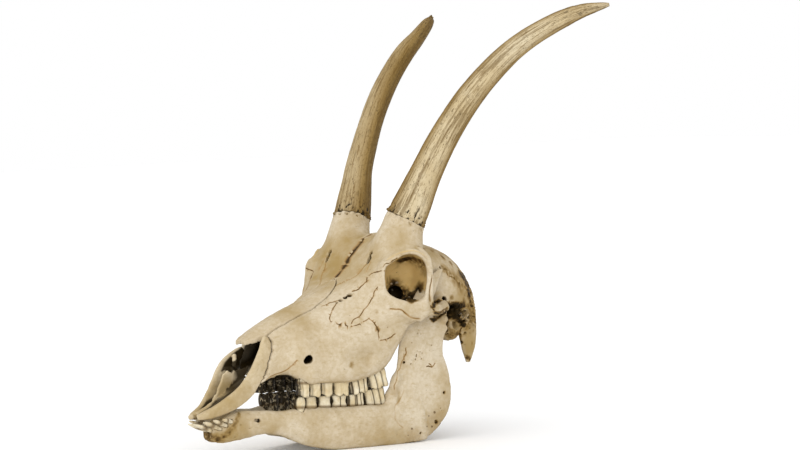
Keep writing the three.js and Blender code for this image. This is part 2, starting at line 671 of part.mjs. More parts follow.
function lowerJaw(side) {
  const condyle = solid(egg(CONDYLE, side));
  const bore = solid(limb(CHEEK_BORE, { side, around: 6 }));
  const ground = solid(new THREE.BoxGeometry(400, 600, 20).translate(0, 0, -10));
  const sockets = [
    toothTrough(side, LOWER_ROW),
    ...FRONT_TEETH.map(([, root, tip]) => frontTooth(side, root, tip, GAP)),
  ];
  const whole = joined([jawBody(side), jawBranch(side, 0), condyle]);
  const cuts = [ground, beyondMiddle(side), bore, ...sockets];
  return cuts.reduce((rest, cut) => rest.subtract(cut), whole);
}

const skull = new THREE.Group();
skull.add(piece("cranium", cranium(), bone));
for (const [name, side] of SIDES) {
  skull.add(piece(`${name}_horn_core`, horn(side), hornCore));
  skull.add(piece(`${name}_nasal_bone`, noseBone(side, 0), bone));
  skull.add(piece(`${name}_muzzle_bone`, muzzleBone(side), bone));
  skull.add(piece(`${name}_lower_jaw`, lowerJaw(side), bone));
  for (const [tooth, shape] of toothRow(side, UPPER_ROW))
    skull.add(piece(`${name}_upper_${tooth}`, shape, enamel));
  for (const [tooth, shape] of toothRow(side, LOWER_ROW))
    skull.add(piece(`${name}_lower_${tooth}`, shape, enamel));
  for (const [tooth, root, tip] of FRONT_TEETH)
    skull.add(piece(`${name}_${tooth}`, frontTooth(side, root, tip), enamel));
}
skull.position.copy(SHIFT);

export default skull;
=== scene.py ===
"""An antelope's skull as cleaned bone: cranium, two bare horn cores, nose and muzzle bones, both
halves of the lower jaw and the teeth. One of the horn cores is broken off near its tip.

Lengths in the tables are millimetres in the skull's own frame, whose middle plane is x = 0, whose
+x side is the left one and whose -y end is the muzzle. show() turns them into metres about the
shared origin. Sutures, pores, stains, painted shade and painted highlights are given where the
camera sees them, and laid on the bone."""

import math

import bmesh
import bpy
import numpy as np
import openvdb
from mathutils import Matrix, Vector
from mathutils.bvhtree import BVHTree


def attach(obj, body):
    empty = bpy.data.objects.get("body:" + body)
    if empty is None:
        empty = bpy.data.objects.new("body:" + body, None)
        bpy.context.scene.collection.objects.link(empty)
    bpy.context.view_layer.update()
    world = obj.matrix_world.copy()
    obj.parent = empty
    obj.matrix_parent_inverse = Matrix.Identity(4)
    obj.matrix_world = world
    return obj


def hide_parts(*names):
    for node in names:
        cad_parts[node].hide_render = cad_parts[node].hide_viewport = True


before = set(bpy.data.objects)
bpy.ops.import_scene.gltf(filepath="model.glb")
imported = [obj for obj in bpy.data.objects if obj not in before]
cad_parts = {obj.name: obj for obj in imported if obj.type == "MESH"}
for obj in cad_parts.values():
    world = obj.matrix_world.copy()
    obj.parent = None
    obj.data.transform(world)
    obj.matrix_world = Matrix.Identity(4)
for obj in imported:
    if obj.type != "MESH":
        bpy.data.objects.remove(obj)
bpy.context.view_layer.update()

MM = 0.001
SHIFT = np.array([-6.0, 26.4, 0.0])  # from the middle plane to the middle of the whole object
LEFT, RIGHT = 1, -1
SIDE_NAME = {LEFT: "left", RIGHT: "right"}
TAU = 2 * math.pi


# ------------------------------------------------------------------ driving sizes

# half outlines (x, z) across the head, from the middle plane's top to its bottom, given along y
FACE = [
    (-140, [[0, 76], [8, 75], [12, 70.5], [15, 64], [16.5, 56], [16, 47.5], [12, 46.5], [0, 49]]),
    (-128, [[0, 84], [10, 80.5], [14.5, 75], [17.5, 67], [18.5, 59], [18, 52], [13, 51.5], [0, 53]]),
    (-118, [[0, 89], [11.5, 84.5], [17.5, 77], [21, 68], [22, 60], [21, 54.8], [15, 54.3], [0, 56]]),
    (-110, [[0, 92.3], [12.5, 87.5], [20, 79], [25, 69], [27, 60], [25.5, 52.8], [18, 52.5], [0, 57]]),
    (-105, [[0, 94.5], [13, 89.3], [22, 81], [28.5, 71], [31, 60], [30.5, 48.8], [18, 49], [0, 56.5]]),
    (-94, [[0, 98.2], [13, 93], [22, 85.5], [29.5, 74], [33, 61], [32.5, 47.6], [19, 47.6], [0, 56]]),
    (-80, [[0, 103], [13, 98.5], [22.5, 93], [32, 80], [36, 62], [35.5, 47.6], [21, 47.6], [0, 56]]),
    (-66, [[0, 108.5], [13, 106], [25, 101], [35, 88], [39.5, 68], [38, 47.8], [23, 47.8], [0, 56]]),
    (-55, [[0, 113.5], [14, 112.5], [26, 109.5], [37, 98], [41.5, 78], [39, 50.4], [25, 50.4], [0, 57]]),
    (-46, [[0, 120.5], [15, 120], [34, 118], [43.5, 108], [45, 88], [39.5, 53.6], [26, 53.6], [0, 60]]),
    (-38, [[0, 130], [18, 130.5], [41, 127], [48, 112], [50, 90], [39, 58], [24, 58], [0, 66]]),
    (-28, [[0, 138], [20, 138], [47, 131.5], [53, 114], [54, 90], [40, 75], [22, 71], [0, 76]]),
    (-18, [[0, 143], [22, 139], [48, 131], [54.5, 115], [56, 90], [34, 85], [18, 80], [0, 80]]),
    (-12, [[0, 143], [20, 138], [34, 129], [36, 115], [34, 95], [26, 88], [16, 82], [0, 82]]),
]
NOSE_SPACE = [
    (-150, [[0, 84], [8, 80], [11, 70], [12, 56], [8, 52], [0, 52]]),
    (-128, [[0, 84], [9, 79], [13, 70], [13.5, 61], [9, 56.5], [0, 56.5]]),
    (-112, [[0, 90], [11, 84], [17.5, 74], [19, 64], [13, 60.5], [0, 60.5]]),
    (-94, [[0, 95], [11, 90], [20, 78], [23, 64], [14, 59.5], [0, 59.5]]),
    (-76, [[0, 101], [11, 97], [22, 84], [26, 66], [15, 59.5], [0, 59.5]]),
    (-62, [[0, 105], [10, 102], [20, 92], [24, 74], [16, 62], [0, 61]]),
]
THROAT_PASSAGE = [
    (-66, [[0, 72], [8, 70], [10, 66], [8, 61.5], [0, 61]]),
    (-45, [[0, 74], [8, 72], [10, 68], [8, 63], [0, 62.5]]),
    (-22, [[0, 78], [8, 77], [10, 72], [9, 60], [0, 58]]),
]
BRAINCASE = [
    (-25, [[0, 139], [14, 134], [20, 122], [18, 104], [12, 88], [0, 82]]),
    (-5, [[0, 141], [17, 136], [26, 122], [24, 102], [15, 84], [0, 76]]),
    (10, [[0, 137.5], [19, 132], [31, 117], [30, 97], [20, 78], [0, 71]]),
    (25, [[0, 133], [19, 128], [33, 113], [34, 95], [24, 76], [0, 69]]),
    (38, [[0, 127.5], [18, 122], [30, 108], [32, 92], [24, 74], [0, 68]]),
    (48, [[0, 119.5], [14, 115], [24, 102], [28, 88], [20, 73], [0, 68]]),
    (53, [[0, 112], [9, 109.5], [17, 99], [20, 86], [15, 73], [0, 70]]),
    (56, [[0, 102], [7, 99], [11, 92], [12, 84], [8, 76], [0, 73]]),
]
BRAIN_SPACE = [
    (0, [[0, 128], [13, 122], [18, 108], [14, 92], [0, 86]]),
    (22, [[0, 127], [18, 121], [28, 104], [22, 82], [0, 76]]),
    (40, [[0, 117], [14, 111], [24, 98], [20, 80], [0, 75]]),
    (50, [[0, 103], [8, 100], [12, 91], [10, 81], [0, 77]]),
]
# the rim of the left eye socket, and how its outline widens and shrinks with depth: (depth, share)
SOCKET_EDGE = [
    [42, -43.8, 122], [42, -44.5, 113], [43, -43.8, 106], [46, -41, 101.6], [50, -34.2, 98.1],
    [53, -27.5, 96.8], [56, -20, 100], [57, -17.3, 109], [57, -16.6, 118.3], [56, -17.5, 124.6],
    [54, -20.8, 129.3], [51, -25.3, 131.3], [47, -30.2, 130.8], [44, -35, 128.2], [42.5, -39.5, 125.5],
]
SOCKET_RINGS = [(-9, 0.92), (0, 1.0), (11, 1.03), (25, 0.8), (37, 0.4)]
# limbs of bone: stops (x, y, z, half width, half depth) along each
PEDICLE = [
    (23, -22, 118, 19, 18),
    (27, -18.5, 134, 18, 16.5),
    (28.6, -14.9, 147, 14.8, 13.9),
    (30.2, -10.8, 157, 13.9, 13),
    (31.2, -9, 161, 13.7, 12.8),
]
CHEEK_ARCH = [
    (32, -58, 90, 3, 6),
    (43.5, -43, 90, 4, 8),
    (53, -29, 91.5, 3.6, 6.5),
    (56, -18, 92.5, 2.8, 5),
    (55, -8, 91.5, 2.4, 3.8),
    (48.4, 1.6, 91, 2.4, 3.2),
    (41, 8.6, 92.5, 4, 4),
    (30, 14, 94, 7, 6),
]
BAR_BEHIND_EYE = [
    (44, -14, 131, 4, 4),
    (54, -14.6, 126, 2.4, 2.2),
    (57.6, -15, 113, 1.4, 1.5),
    (57.2, -15.6, 101, 1.5, 1.8),
    (55.5, -16.6, 90, 2.6, 4),
]
NECK_CREST = [
    (0, 51, 115, 3, 3),
    (12.5, 49.5, 110.5, 3, 3),
    (19, 49.5, 102.5, 3, 3),
    (25, 47.5, 94.5, 3.2, 3),
    (30.5, 44, 85, 3.4, 3.2),
    (31, 43, 76, 4, 3.6),
]
JAW_SEAT = [
    (28, 10, 92, 6, 4.5),
    (37, 9.2, 91.5, 5, 3),
    (44, 7, 91, 3.2, 2.4),
]
NECK_PROCESS = [
    (28, 41, 86, 3.6, 7),
    (28.3, 41.5, 75, 3, 8.2),
    (26.5, 43.7, 64, 2.6, 6.8),
    (24, 45.4, 54, 2, 3.8),
    (22.8, 46, 49.4, 1.4, 1.8),
]
EAR_TUBE = [
    (24, 31, 84.5, 5.5, 5.5),
    (33, 32, 84.5, 4.6, 4.6),
    (39, 33, 84, 4.3, 4.3),
]
EAR_BORE = [
    (30, 31.7, 84.5, 2.5, 2.5),
    (42, 33.4, 84, 2.7, 2.7),
]
WING_PLATE = [
    (10, -42, 58, 1.5, 6),
    (10, -28, 63, 1.5, 8),
    (9.5, -12, 72, 1.6, 8),
    (9, 4, 78, 2.5, 5),
]
NECK_HOLE = [
    (0, 40, 86, 8, 8),
    (0, 52, 82, 8.5, 8),
    (0, 72, 76, 9, 9),
]
# the nasal bone's upper face: (y, z at the middle, half width, z at the edge)
NOSE_BONE = [
    (-137, 78, 6, 75.6),
    (-129, 84.3, 10.5, 80),
    (-118, 89.2, 12, 84.3),
    (-107, 93.7, 12.6, 88.8),
    (-94, 98.4, 12.8, 93.3),
    (-80, 103.2, 13, 98.7),
    (-66, 108.7, 11, 106.2),
    (-58, 112, 7.5, 111.2),
    (-54, 113.9, 3, 113.6),
]
# more limbs: muzzle bones, horn core and lower jaw
MUZZLE_BAR = [
    (3.4, -178.0, 29.6, 2.0, 1.5),
    (6, -173.6, 30.8, 3, 2.6),
    (9.6, -164.4, 33.8, 2.7, 4.3),
    (12.2, -154.6, 38.4, 2.3, 5.4),
    (13.9, -146.6, 43.6, 2.0, 5.9),
    (15.2, -139.4, 51, 1.9, 6.0),
    (15.9, -133.4, 60.4, 1.9, 6.0),
    (15.7, -128.4, 69.8, 1.8, 5.8),
    (14.6, -126.4, 76.5, 1.6, 4.8),
    (13.4, -125.8, 80, 1.2, 3),
]
FAR_MUZZLE_BAR = [
    (3.4, -178.2, 29.4, 1.8, 1.5),
    (7, -172.4, 30.2, 2.4, 2.8),
    (11, -162.4, 32.6, 2.2, 4.6),
    (13.4, -150.8, 40.6, 2.0, 7.2),
    (14.4, -143.8, 48.0, 2.0, 8.6),
    (14.8, -137.4, 56.6, 2.0, 9.0),
    (14.8, -131.4, 61.8, 1.9, 8.2),
    (14.2, -127.0, 66.4, 1.7, 6.2),
    (13.6, -123.6, 69.6, 1.4, 4),
]
PALATE_ROD = [
    (3.4, -174, 30.8, 2, 1.4),
    (3, -160, 36.5, 1.7, 1.8),
    (2.8, -145, 44, 1.5, 2.4),
    (2.6, -128, 52.5, 1.2, 2),
]
HORN = [
    (29.3, -12.4, 153.5, 13.9, 13),
    (32.3, -7.2, 165, 13, 12),
    (34.8, -2.6, 176, 12, 10.7),
    (37.6, 2.2, 187, 11.1, 9.7),
    (40.8, 10.8, 203, 10.4, 8.9),
    (44.6, 20.6, 219, 9.8, 8.3),
    (48.7, 32.3, 235, 9.4, 8),
    (53.4, 46.9, 251, 8.7, 7.5),
    (58.9, 65.2, 267, 7.8, 6.8),
    (64.6, 82, 278, 7.1, 6.3),
    (74.8, 101, 288.5, 6.1, 5.5),
    (82.2, 112.8, 293.4, 4.5, 4.2),
    (91.5, 123.6, 296.3, 2.1, 2),
    (94, 126.2, 296.8, 1.1, 1.1),
]
BREAK_END = [(79.2, 108.6, 290.6, 3.4, 3.0), (81.8, 112.4, 294.2, 1.0, 1.0)]
JAW_BODY = [
    (2.8, -167, 18.4, 2.3, 5),
    (4, -160, 18.2, 3.5, 7.4),
    (6.6, -150, 20.8, 4.6, 9.4),
    (9, -141, 22.2, 4.2, 9.2),
    (12, -130, 22.6, 4, 8),
    (15.5, -119, 21.3, 4.2, 8.2),
    (18.6, -109, 19.5, 5, 10.6),
    (22.2, -97, 17.2, 5.6, 13.2),
    (26.2, -81, 15, 6, 14.4),
    (30.8, -60, 14, 6, 14.4),
    (34.6, -42, 13.8, 5.8, 14.2),
    (37.4, -26, 14.8, 4.6, 15.2),
    (39, -13, 17, 4.2, 15.6),
]
# sections of the jaw's upright branch: (z, front y, rear y, x, half thickness)
JAW_BRANCH = [
    (1.8, -34, -9.6, 37.4, 3.4),
    (6.4, -38, -2.1, 37.8, 4.2),
    (12.6, -40, 4.1, 38.2, 4.4),
    (20.6, -40, 9.4, 38.8, 4.2),
    (30, -37, 11.9, 39.2, 3.7),
    (41, -35.4, 11, 39.5, 3.3),
    (50, -32, 8.6, 39.9, 3),
    (60, -30.2, 5.4, 40.2, 2.8),
    (70, -28.4, 6.8, 40.3, 2.7),
    (79, -25.4, 9.8, 40, 2.6),
    (86, -21.6, -0.4, 38.4, 2.2),
    (95, -16, 1.8, 37, 1.9),
    (104, -8, 6.5, 35.8, 1.6),
    (112, 2, 11.6, 35, 1.4),
    (117.4, 11, 15.4, 34.6, 1),
]
SOCKET_FACES = (0.87, -0.49, 0.05)
BREAK_STOP = 10  # the last stop of the horn core before the broken end
# balls with three half sizes: (middle, half sizes)
BULLA = ((22, 29, 73.5), (7.5, 9, 8))
NECK_CONDYLE = ((10.5, 53, 76.5), (5.5, 7, 8.5))
EAR_INNER_WALL = ((20.5, 33.5, 90), (4.5, 6.5, 5))
# the sill that closes the nose behind the muzzle bones
NOSE_SILL = ((6, -127.5, 54), (13.5, -121, 54.5))
# the suture between muzzle bone and upper jaw, as y and z seen from the side
MUZZLE_SUTURE = [
    (-136.6, 44), (-134.3, 48.3), (-130.7, 53.1), (-128, 58.7), (-125.8, 64.5), (-124, 68.6),
    (-122.2, 71.8), (-121, 75.9), (-122.4, 79), (-126, 82),
]


# ------------------------------------------------------------------ curves and noise


def through(at, rows, where):
    """A smooth curve through rows given at the parameters at, read at where."""
    at = np.asarray(at, float)
    where = np.asarray(where, float)
    rows = np.asarray(rows, float)
    flat = rows.reshape(len(at), -1)
    step = np.diff(at)[:, None]
    slope = np.diff(flat, axis=0) / step
    tangent = np.empty_like(flat)
    tangent[0], tangent[-1] = slope[0], slope[-1]
    tangent[1:-1] = (slope[:-1] * step[1:] + slope[1:] * step[:-1]) / (step[:-1] + step[1:])
    i = np.clip(np.searchsorted(at, where, side="right") - 1, 0, len(at) - 2)
    h = step[i]
    t = (where - at[i])[:, None] / h
    out = (2 * t**3 - 3 * t**2 + 1) * flat[i] + (t**3 - 2 * t**2 + t) * h * tangent[i]
    out += (3 * t**2 - 2 * t**3) * flat[i + 1] + (t**3 - t**2) * h * tangent[i + 1]
    return out.reshape((len(where),) + rows.shape[1:])


def along_axis(values, axis):
    """Values shaped to run along one of the three axes of a block."""
    return values.reshape([-1 if k == axis else 1 for k in range(3)])


def rounded(loops, per):
    """Closed loops (n, m, k) with per points for each given one, along a smooth curve."""
    m = loops.shape[1]
    wrapped = np.concatenate([loops[:, -2:], loops, loops[:, :3]], axis=1)
    where = np.arange(m * per) / per + 2
    return np.moveaxis(through(np.arange(m + 5), np.moveaxis(wrapped, 1, 0), where), 0, 1)


def ramp(values, low, high):
    """0 below low, 1 above high, eased between."""
    t = np.clip((values - low) / (high - low), 0, 1)
    return t * t * (3 - 2 * t)


def lattice(i, j, k, seed):
    """One pseudo-random number from 0 to 1 for each whole-numbered lattice point."""
    value = np.sin(i * 127.1 + j * 311.7 + k * 74.7 + seed * 53.3) * 43758.5453
    return value - np.floor(value)


def noise(points, size, seed):
    """Smooth noise from -1 to 1 at points, with lumps about size across (a number or three)."""
    p = np.asarray(points, float) / np.asarray(size, float)
    base = np.floor(p)
    t = p - base
    t = t * t * (3 - 2 * t)
    total = 0
    for corner in np.ndindex(2, 2, 2):
        weight = np.prod(np.where(corner, t, 1 - t), axis=-1)
        total = total + weight * lattice(*np.moveaxis(base + corner, -1, 0), seed)
    return 2 * total - 1


def rough(points, size, seed, octaves=3):
    """Noise with finer and weaker copies of itself added."""
    size = np.asarray(size, float)
    return sum(noise(points, size / 2**n, seed + n) / 2**n for n in range(octaves))


# ------------------------------------------------------------------ closed surfaces


def skin(rings):
    """Points, quads and triangles of a closed surface over rings (n, m, 3)."""
    n, m = rings.shape[:2]
    points = np.vstack([rings.reshape(-1, 3), rings[0].mean(0), rings[-1].mean(0)])
    i, j = np.meshgrid(np.arange(n - 1), np.arange(m), indexing="ij")
    a, b = i * m + j, i * m + (j + 1) % m
    quads = np.stack([a, b, b + m, a + m], -1).reshape(-1, 4)
    j = np.arange(m)
    start = np.stack([(j + 1) % m, j, np.full(m, n * m)], -1)
    end = np.stack([j, (j + 1) % m, np.full(m, 1)], -1) + (n - 1) * m
    end[:, 2] = n * m + 1
    return points, quads, np.vstack([start, end])


def all_triangles(triangles, quads):
    """The triangles, and both halves of each quad."""
    return np.vstack([triangles, quads[:, [0, 1, 2]], quads[:, [0, 2, 3]]])


def signed_volume(points, quads, triangles):
    """Volume inside a surface, negative where its faces look inwards."""
    corners = all_triangles(triangles, quads)
    a, b, c = (points[corners[:, k]] for k in range(3))
    return np.einsum("ij,ij->i", a, np.cross(b, c)).sum() / 6


def limb_rings(stops, deep=(0, 0, 1), around=20, per=5, power=2.0):
    """Oval rings along a smooth path of stops (x, y, z, half width, half depth)."""
    stops = np.asarray(stops, float)
    steps = np.linalg.norm(np.diff(stops[:, :3], axis=0), axis=1)
    at = np.concatenate([[0], np.cumsum(np.sqrt(steps))])
    where = np.interp(np.arange((len(stops) - 1) * per + 1) / per, np.arange(len(stops)), at)
    rows = through(at, stops, where)
    along = np.gradient(rows[:, :3], axis=0)
    along /= np.linalg.norm(along, axis=1, keepdims=True)
    across = np.cross(along, deep)
    across /= np.linalg.norm(across, axis=1, keepdims=True)
    down = np.cross(across, along)
    turn = TAU * np.arange(around) / around
    c, s = np.cos(turn), np.sin(turn)
    reach = (np.abs(c) ** power + np.abs(s) ** power) ** (-1 / power)
    wide = rows[:, 3, None, None] * (reach * c)[None, :, None] * across[:, None]
    high = rows[:, 4, None, None] * (reach * s)[None, :, None] * down[:, None]
    return rows[:, None, :3] + wide + high


def section_rings(table, step=2.0, per=4):
    """Rounded rings across the head from half outlines (x, z) given along y."""
    ys = [y for y, _ in table]
    where = np.arange(ys[0], ys[-1] + step / 2, step)
    half = through(ys, [outline for _, outline in table], where)
    mirrored = half[:, -2:0:-1] * (-1, 1)
    loops = rounded(np.concatenate([half, mirrored], axis=1), per)
    y = np.broadcast_to(where[:, None], loops.shape[:2])
    return np.stack([loops[..., 0], y, loops[..., 1]], -1)


# ------------------------------------------------------------------ distance fields


class Block:
    """A box of voxels, and the distance fields of shapes sampled in it."""

    band = 8  # voxels to either side of a surface in which distance is kept

    def __init__(self, low, high, voxel):
        self.voxel = voxel
        self.low = np.floor(np.array(low) / voxel).astype(int)
        self.dims = tuple(np.ceil(np.array(high) / voxel).astype(int) - self.low + 1)

    def axes(self):
        return [(self.low[k] + np.arange(self.dims[k])) * self.voxel for k in range(3)]

    def points(self):
        return np.stack(np.meshgrid(*self.axes(), indexing="ij"), -1)

    def of(self, rings):
        """Distance to the surface over rings: negative inside."""
        points, quads, triangles = skin(rings)
        grid = openvdb.FloatGrid.createLevelSetFromPolygons(
            points.astype(np.float32),
            triangles=triangles.astype(np.uint32),
            quads=quads.astype(np.uint32),
            transform=openvdb.createLinearTransform(voxelSize=self.voxel),
            halfWidth=float(self.band),
        )
        out = np.zeros(self.dims, np.float32)
        grid.copyToArray(out, ijk=tuple(int(v) for v in self.low))
        return out

    def egg(self, centre, half):
        """Distance to a ball with three half sizes, good near its surface."""
        x, y, z = (along_axis((self.axes()[k] - centre[k]) / half[k], k) for k in range(3))
        far = np.sqrt(x**2 + y**2 + z**2)
        limit = self.band * self.voxel
        return np.clip((far - 1) * min(half), -limit, limit).astype(np.float32)

    def noise(self, size, seed):
        """Smooth noise from -1 to 1 in every voxel."""
        rng = np.random.default_rng(seed)
        size = np.broadcast_to(size, 3)
        counts = [int(self.dims[k] * self.voxel / size[k]) + 3 for k in range(3)]
        values = rng.uniform(-1, 1, counts)
        for k in range(3):
            p = np.arange(self.dims[k]) * self.voxel / size[k]
            i = np.floor(p).astype(int)
            t = p - i
            t = along_axis(t * t * (3 - 2 * t), k)
            values = np.take(values, i, axis=k) * (1 - t) + np.take(values, i + 1, axis=k) * t
        return values.astype(np.float32)

    def surface(self, field, mirrored=False):
        """Points, quads and triangles where the field is zero, over both sides if mirrored."""
        low = [int(v) for v in self.low]
        if mirrored:
            start = -low[0]
            field = np.concatenate([field[:start:-1], field[start:]], axis=0)
            low[0] = -(self.dims[0] - 1 - start)
        grid = openvdb.FloatGrid(float(self.band * self.voxel))
        grid.transform = openvdb.createLinearTransform(voxelSize=self.voxel)
        grid.copyFromArray(np.ascontiguousarray(field), ijk=tuple(low))
        points, triangles, quads = grid.convertToPolygons(0.0, 0.0)
        if signed_volume(points, quads, triangles) < 0:
            triangles, quads = triangles[:, ::-1], quads[:, ::-1]
        return points, quads, triangles

    def sample(self, field, points):
        """Field values at points of either side, by linear interpolation."""
        p = np.array(points, float)
        if self.low[0] > -self.band:
            p[:, 0] = np.abs(p[:, 0])
        p = p / self.voxel - self.low
        p = np.clip(p, 0, np.array(self.dims) - 1.001)
        i = np.floor(p).astype(int)
        t = p - i
        total = 0
        for corner in np.ndindex(2, 2, 2):
            weight = np.prod(np.where(corner, t, 1 - t), axis=1)
            total = total + weight * field[tuple((i + corner).T)]
        return total


def join(a, b, soft=0.0):
    """Union of two fields, filleted by soft."""
    if soft == 0:
        return np.minimum(a, b)
    h = np.clip(0.5 + 0.5 * (b - a) / soft, 0, 1)
    return b * (1 - h) + a * h - soft * h * (1 - h)


def cut(a, b, soft=0.0):
    """Field a with b taken away, its edge rounded by soft."""
    return -join(-a, b, soft)


def blurred(field, reach):
    """Share of solid around each voxel, within about reach voxels."""
    out = (field < 0).astype(np.float32)
    for axis in range(3):
        at = np.arange(out.shape[axis])
        for _ in range(2):
            total = np.cumsum(out, axis=axis, dtype=np.float32)
            ahead = np.take(total, np.minimum(at + reach, at[-1]), axis=axis)
            behind = np.take(total, np.maximum(at - reach - 1, 0), axis=axis)
            out = (ahead - behind) / (2 * reach + 1)
    return out


# ------------------------------------------------------------------ small surfaces and lines


def vertex_normals(points, triangles):
    """Unit normals at the points, from the faces round each."""
    a, b, c = (points[triangles[:, k]] for k in range(3))
    face = np.cross(b - a, c - a)
    total = np.empty_like(points)
    for axis in range(3):
        total[:, axis] = sum(
            np.bincount(triangles[:, k], weights=face[:, axis], minlength=len(points)) for k in range(3)
        )
    return total / np.maximum(np.linalg.norm(total, axis=1, keepdims=True), 1e-12)


def largest_part(points, triangles):
    """The biggest connected part of a mesh, without loose crumbs."""
    label = np.arange(len(points))
    a = triangles.ravel()
    b = triangles[:, [1, 2, 0]].ravel()
    while True:
        lower = np.minimum(label[a], label[b])
        new = label.copy()
        np.minimum.at(new, a, lower)
        np.minimum.at(new, b, lower)
        new = new[new]
        if np.array_equal(new, label):
            break
        label = new
    kept = label == np.bincount(label[triangles[:, 0]]).argmax()
    number = np.cumsum(kept) - 1
    faces = triangles[kept[triangles[:, 0]]]
    return points[kept], number[faces]


def as_mesh(name, points, triangles):
    """A mesh datablock from arrays of points and triangles."""
    mesh = bpy.data.meshes.new(name)
    mesh.vertices.add(len(points))
    mesh.vertices.foreach_set("co", np.asarray(points, np.float32).ravel())
    mesh.loops.add(3 * len(triangles))
    mesh.loops.foreach_set("vertex_index", np.asarray(triangles, np.int32).ravel())
    mesh.polygons.add(len(triangles))
    mesh.polygons.foreach_set("loop_start", np.arange(len(triangles), dtype=np.int32) * 3)
    mesh.update(calc_edges=True)
    mesh.validate()
    return mesh


def as_arrays(mesh):
    """Points and triangles of a mesh datablock."""
    mesh.calc_loop_triangles()
    points = np.empty(3 * len(mesh.vertices), np.float32)
    mesh.vertices.foreach_get("co", points)
    triangles = np.empty(3 * len(mesh.loop_triangles), np.int32)
    mesh.loop_triangles.foreach_get("vertices", triangles)
    return points.reshape(-1, 3).astype(float), triangles.reshape(-1, 3)


def in_scene(name, data):
    """A new object that holds the given data."""
    made = bpy.data.objects.new(name, data)
    bpy.context.scene.collection.objects.link(made)
    return made


def evaluated(made):
    """The mesh that an object's modifiers make of it."""
    bpy.context.view_layer.update()
    return bpy.data.meshes.new_from_object(made.evaluated_get(bpy.context.evaluated_depsgraph_get()))


def thinned(points, triangles, most):
    """The same surface in at most so many triangles, fewest where it is flattest."""
    if len(triangles) <= most:
        return points, triangles
    mesh = as_mesh("raw", points, triangles)
    raw = in_scene("raw", mesh)
    thin = raw.modifiers.new("thin", "DECIMATE")
    thin.ratio = most / len(triangles)
    done = evaluated(raw)
    arrays = as_arrays(done)
    bpy.data.objects.remove(raw)
    bpy.data.meshes.remove(mesh)
    bpy.data.meshes.remove(done)
    return arrays


def divided(points, triangles, chosen, longest):
    """The surface with its chosen points' edges halved where they are longer than longest."""
    grid = bmesh.new()
    mesh = as_mesh("raw", points, triangles)
    grid.from_mesh(mesh)
    grid.verts.ensure_lookup_table()
    edges = [e for e in grid.edges if chosen[e.verts[0].index] and chosen[e.verts[1].index]]
    edges = [e for e in edges if e.calc_length() > longest]
    bmesh.ops.subdivide_edges(grid, edges=edges, cuts=1)
    bmesh.ops.triangulate(grid, faces=[f for f in grid.faces if len(f.verts) > 3])
    grid.to_mesh(mesh)
    grid.free()
    arrays = as_arrays(mesh)
    bpy.data.meshes.remove(mesh)
    return arrays


def to_lines(points, lines, reach):
    """Distance from each point to the nearest of some lines, no more than reach."""
    out = np.full(len(points), float(reach))
    for line in lines:
        line = np.asarray(line, float)
        near = np.all((points > line.min(0) - reach) & (points < line.max(0) + reach), axis=1)
        p = points[near]
        best = out[near]
        for a, b in zip(line[:-1], line[1:]):
            along = b - a
            share = np.clip((p - a) @ along / (along @ along), 0, 1)
            best = np.minimum(best, np.linalg.norm(p - a - share[:, None] * along, axis=1))
        out[near] = best
    return out


def laid_on(points, triangles, line, spacing=1.5):
    """A line with points closely spaced and each moved to the nearest place on a surface."""
    line = np.asarray(line, float)
    lengths = np.concatenate([[0], np.cumsum(np.linalg.norm(np.diff(line, axis=0), axis=1))])
    where = np.linspace(0, lengths[-1], max(2, int(lengths[-1] / spacing) + 1))
    dense = through(lengths, line, where)
    low, high = dense.min(0) - 8, dense.max(0) + 8
    near = np.all((points[triangles[:, 0]] > low) & (points[triangles[:, 0]] < high), axis=1)
    tree = BVHTree.FromPolygons(points.tolist(), triangles[near].tolist())
    return np.array([tree.find_nearest(Vector(p))[0] for p in dense])


# ------------------------------------------------------------------ pieces of bone


# the camera in the skull's frame, and enlarged parts of its picture in which small places are given
CAMERA = np.array([1876.52, -1563.95, 261.98])
CAMERA_RIGHT, CAMERA_UP = np.array([0.64279, 0.76526, -0.03475]), np.array([-0.01337, 0.05656, 0.99831])
CAMERA_BACK = np.array([0.76593, -0.64124, 0.04659])
LENS, FILM_WIDTH = 157.5, 36.0
PICTURE_MIDDLE = np.array([400, 225])
FOCUS = LENS / FILM_WIDTH * 2 * PICTURE_MIDDLE[0]  # in pixels
PIXEL_SIZE = 0.70  # millimetres at the skull
SIGHT_RANGE = (2300.0, 2640.0, 0.4)  # distances from the camera at which a surface is looked for
LONGEST_JUMP = 16.0
# level direction from the skull towards the camera, and the direction of the painted light: faces turned away
# from it are painted tan as shade
VIEW_DEPTH = np.array([0.7657, -0.6432, 0.0])
LIT_FROM = np.array([0.75, -0.62, 0.22])


class View:
    """An enlarged part of the picture in which small places are given: left and top edge, enlargement."""

    def __init__(self, left, top, times):
        self.corner, self.times = np.array([left, top], float), times
        self.scale = PIXEL_SIZE / times  # millimetres of the skull to a step of the view

    def rays(self, places):
        """Unit directions from the camera through places of the view."""
        x, y = (self.corner + np.asarray(places, float) / self.times - PICTURE_MIDDLE).T[:, :, None]
        rays = x * CAMERA_RIGHT - y * CAMERA_UP - FOCUS * CAMERA_BACK
        return rays / np.linalg.norm(rays, axis=1, keepdims=True)

    def of(self, points):
        """Where points appear in the view."""
        away = points - CAMERA
        x, y = away @ CAMERA_RIGHT, -(away @ CAMERA_UP)
        at = np.stack([x, y], -1) * (FOCUS / -(away @ CAMERA_BACK))[:, None]
        return (at + PICTURE_MIDDLE - self.corner) * self.times


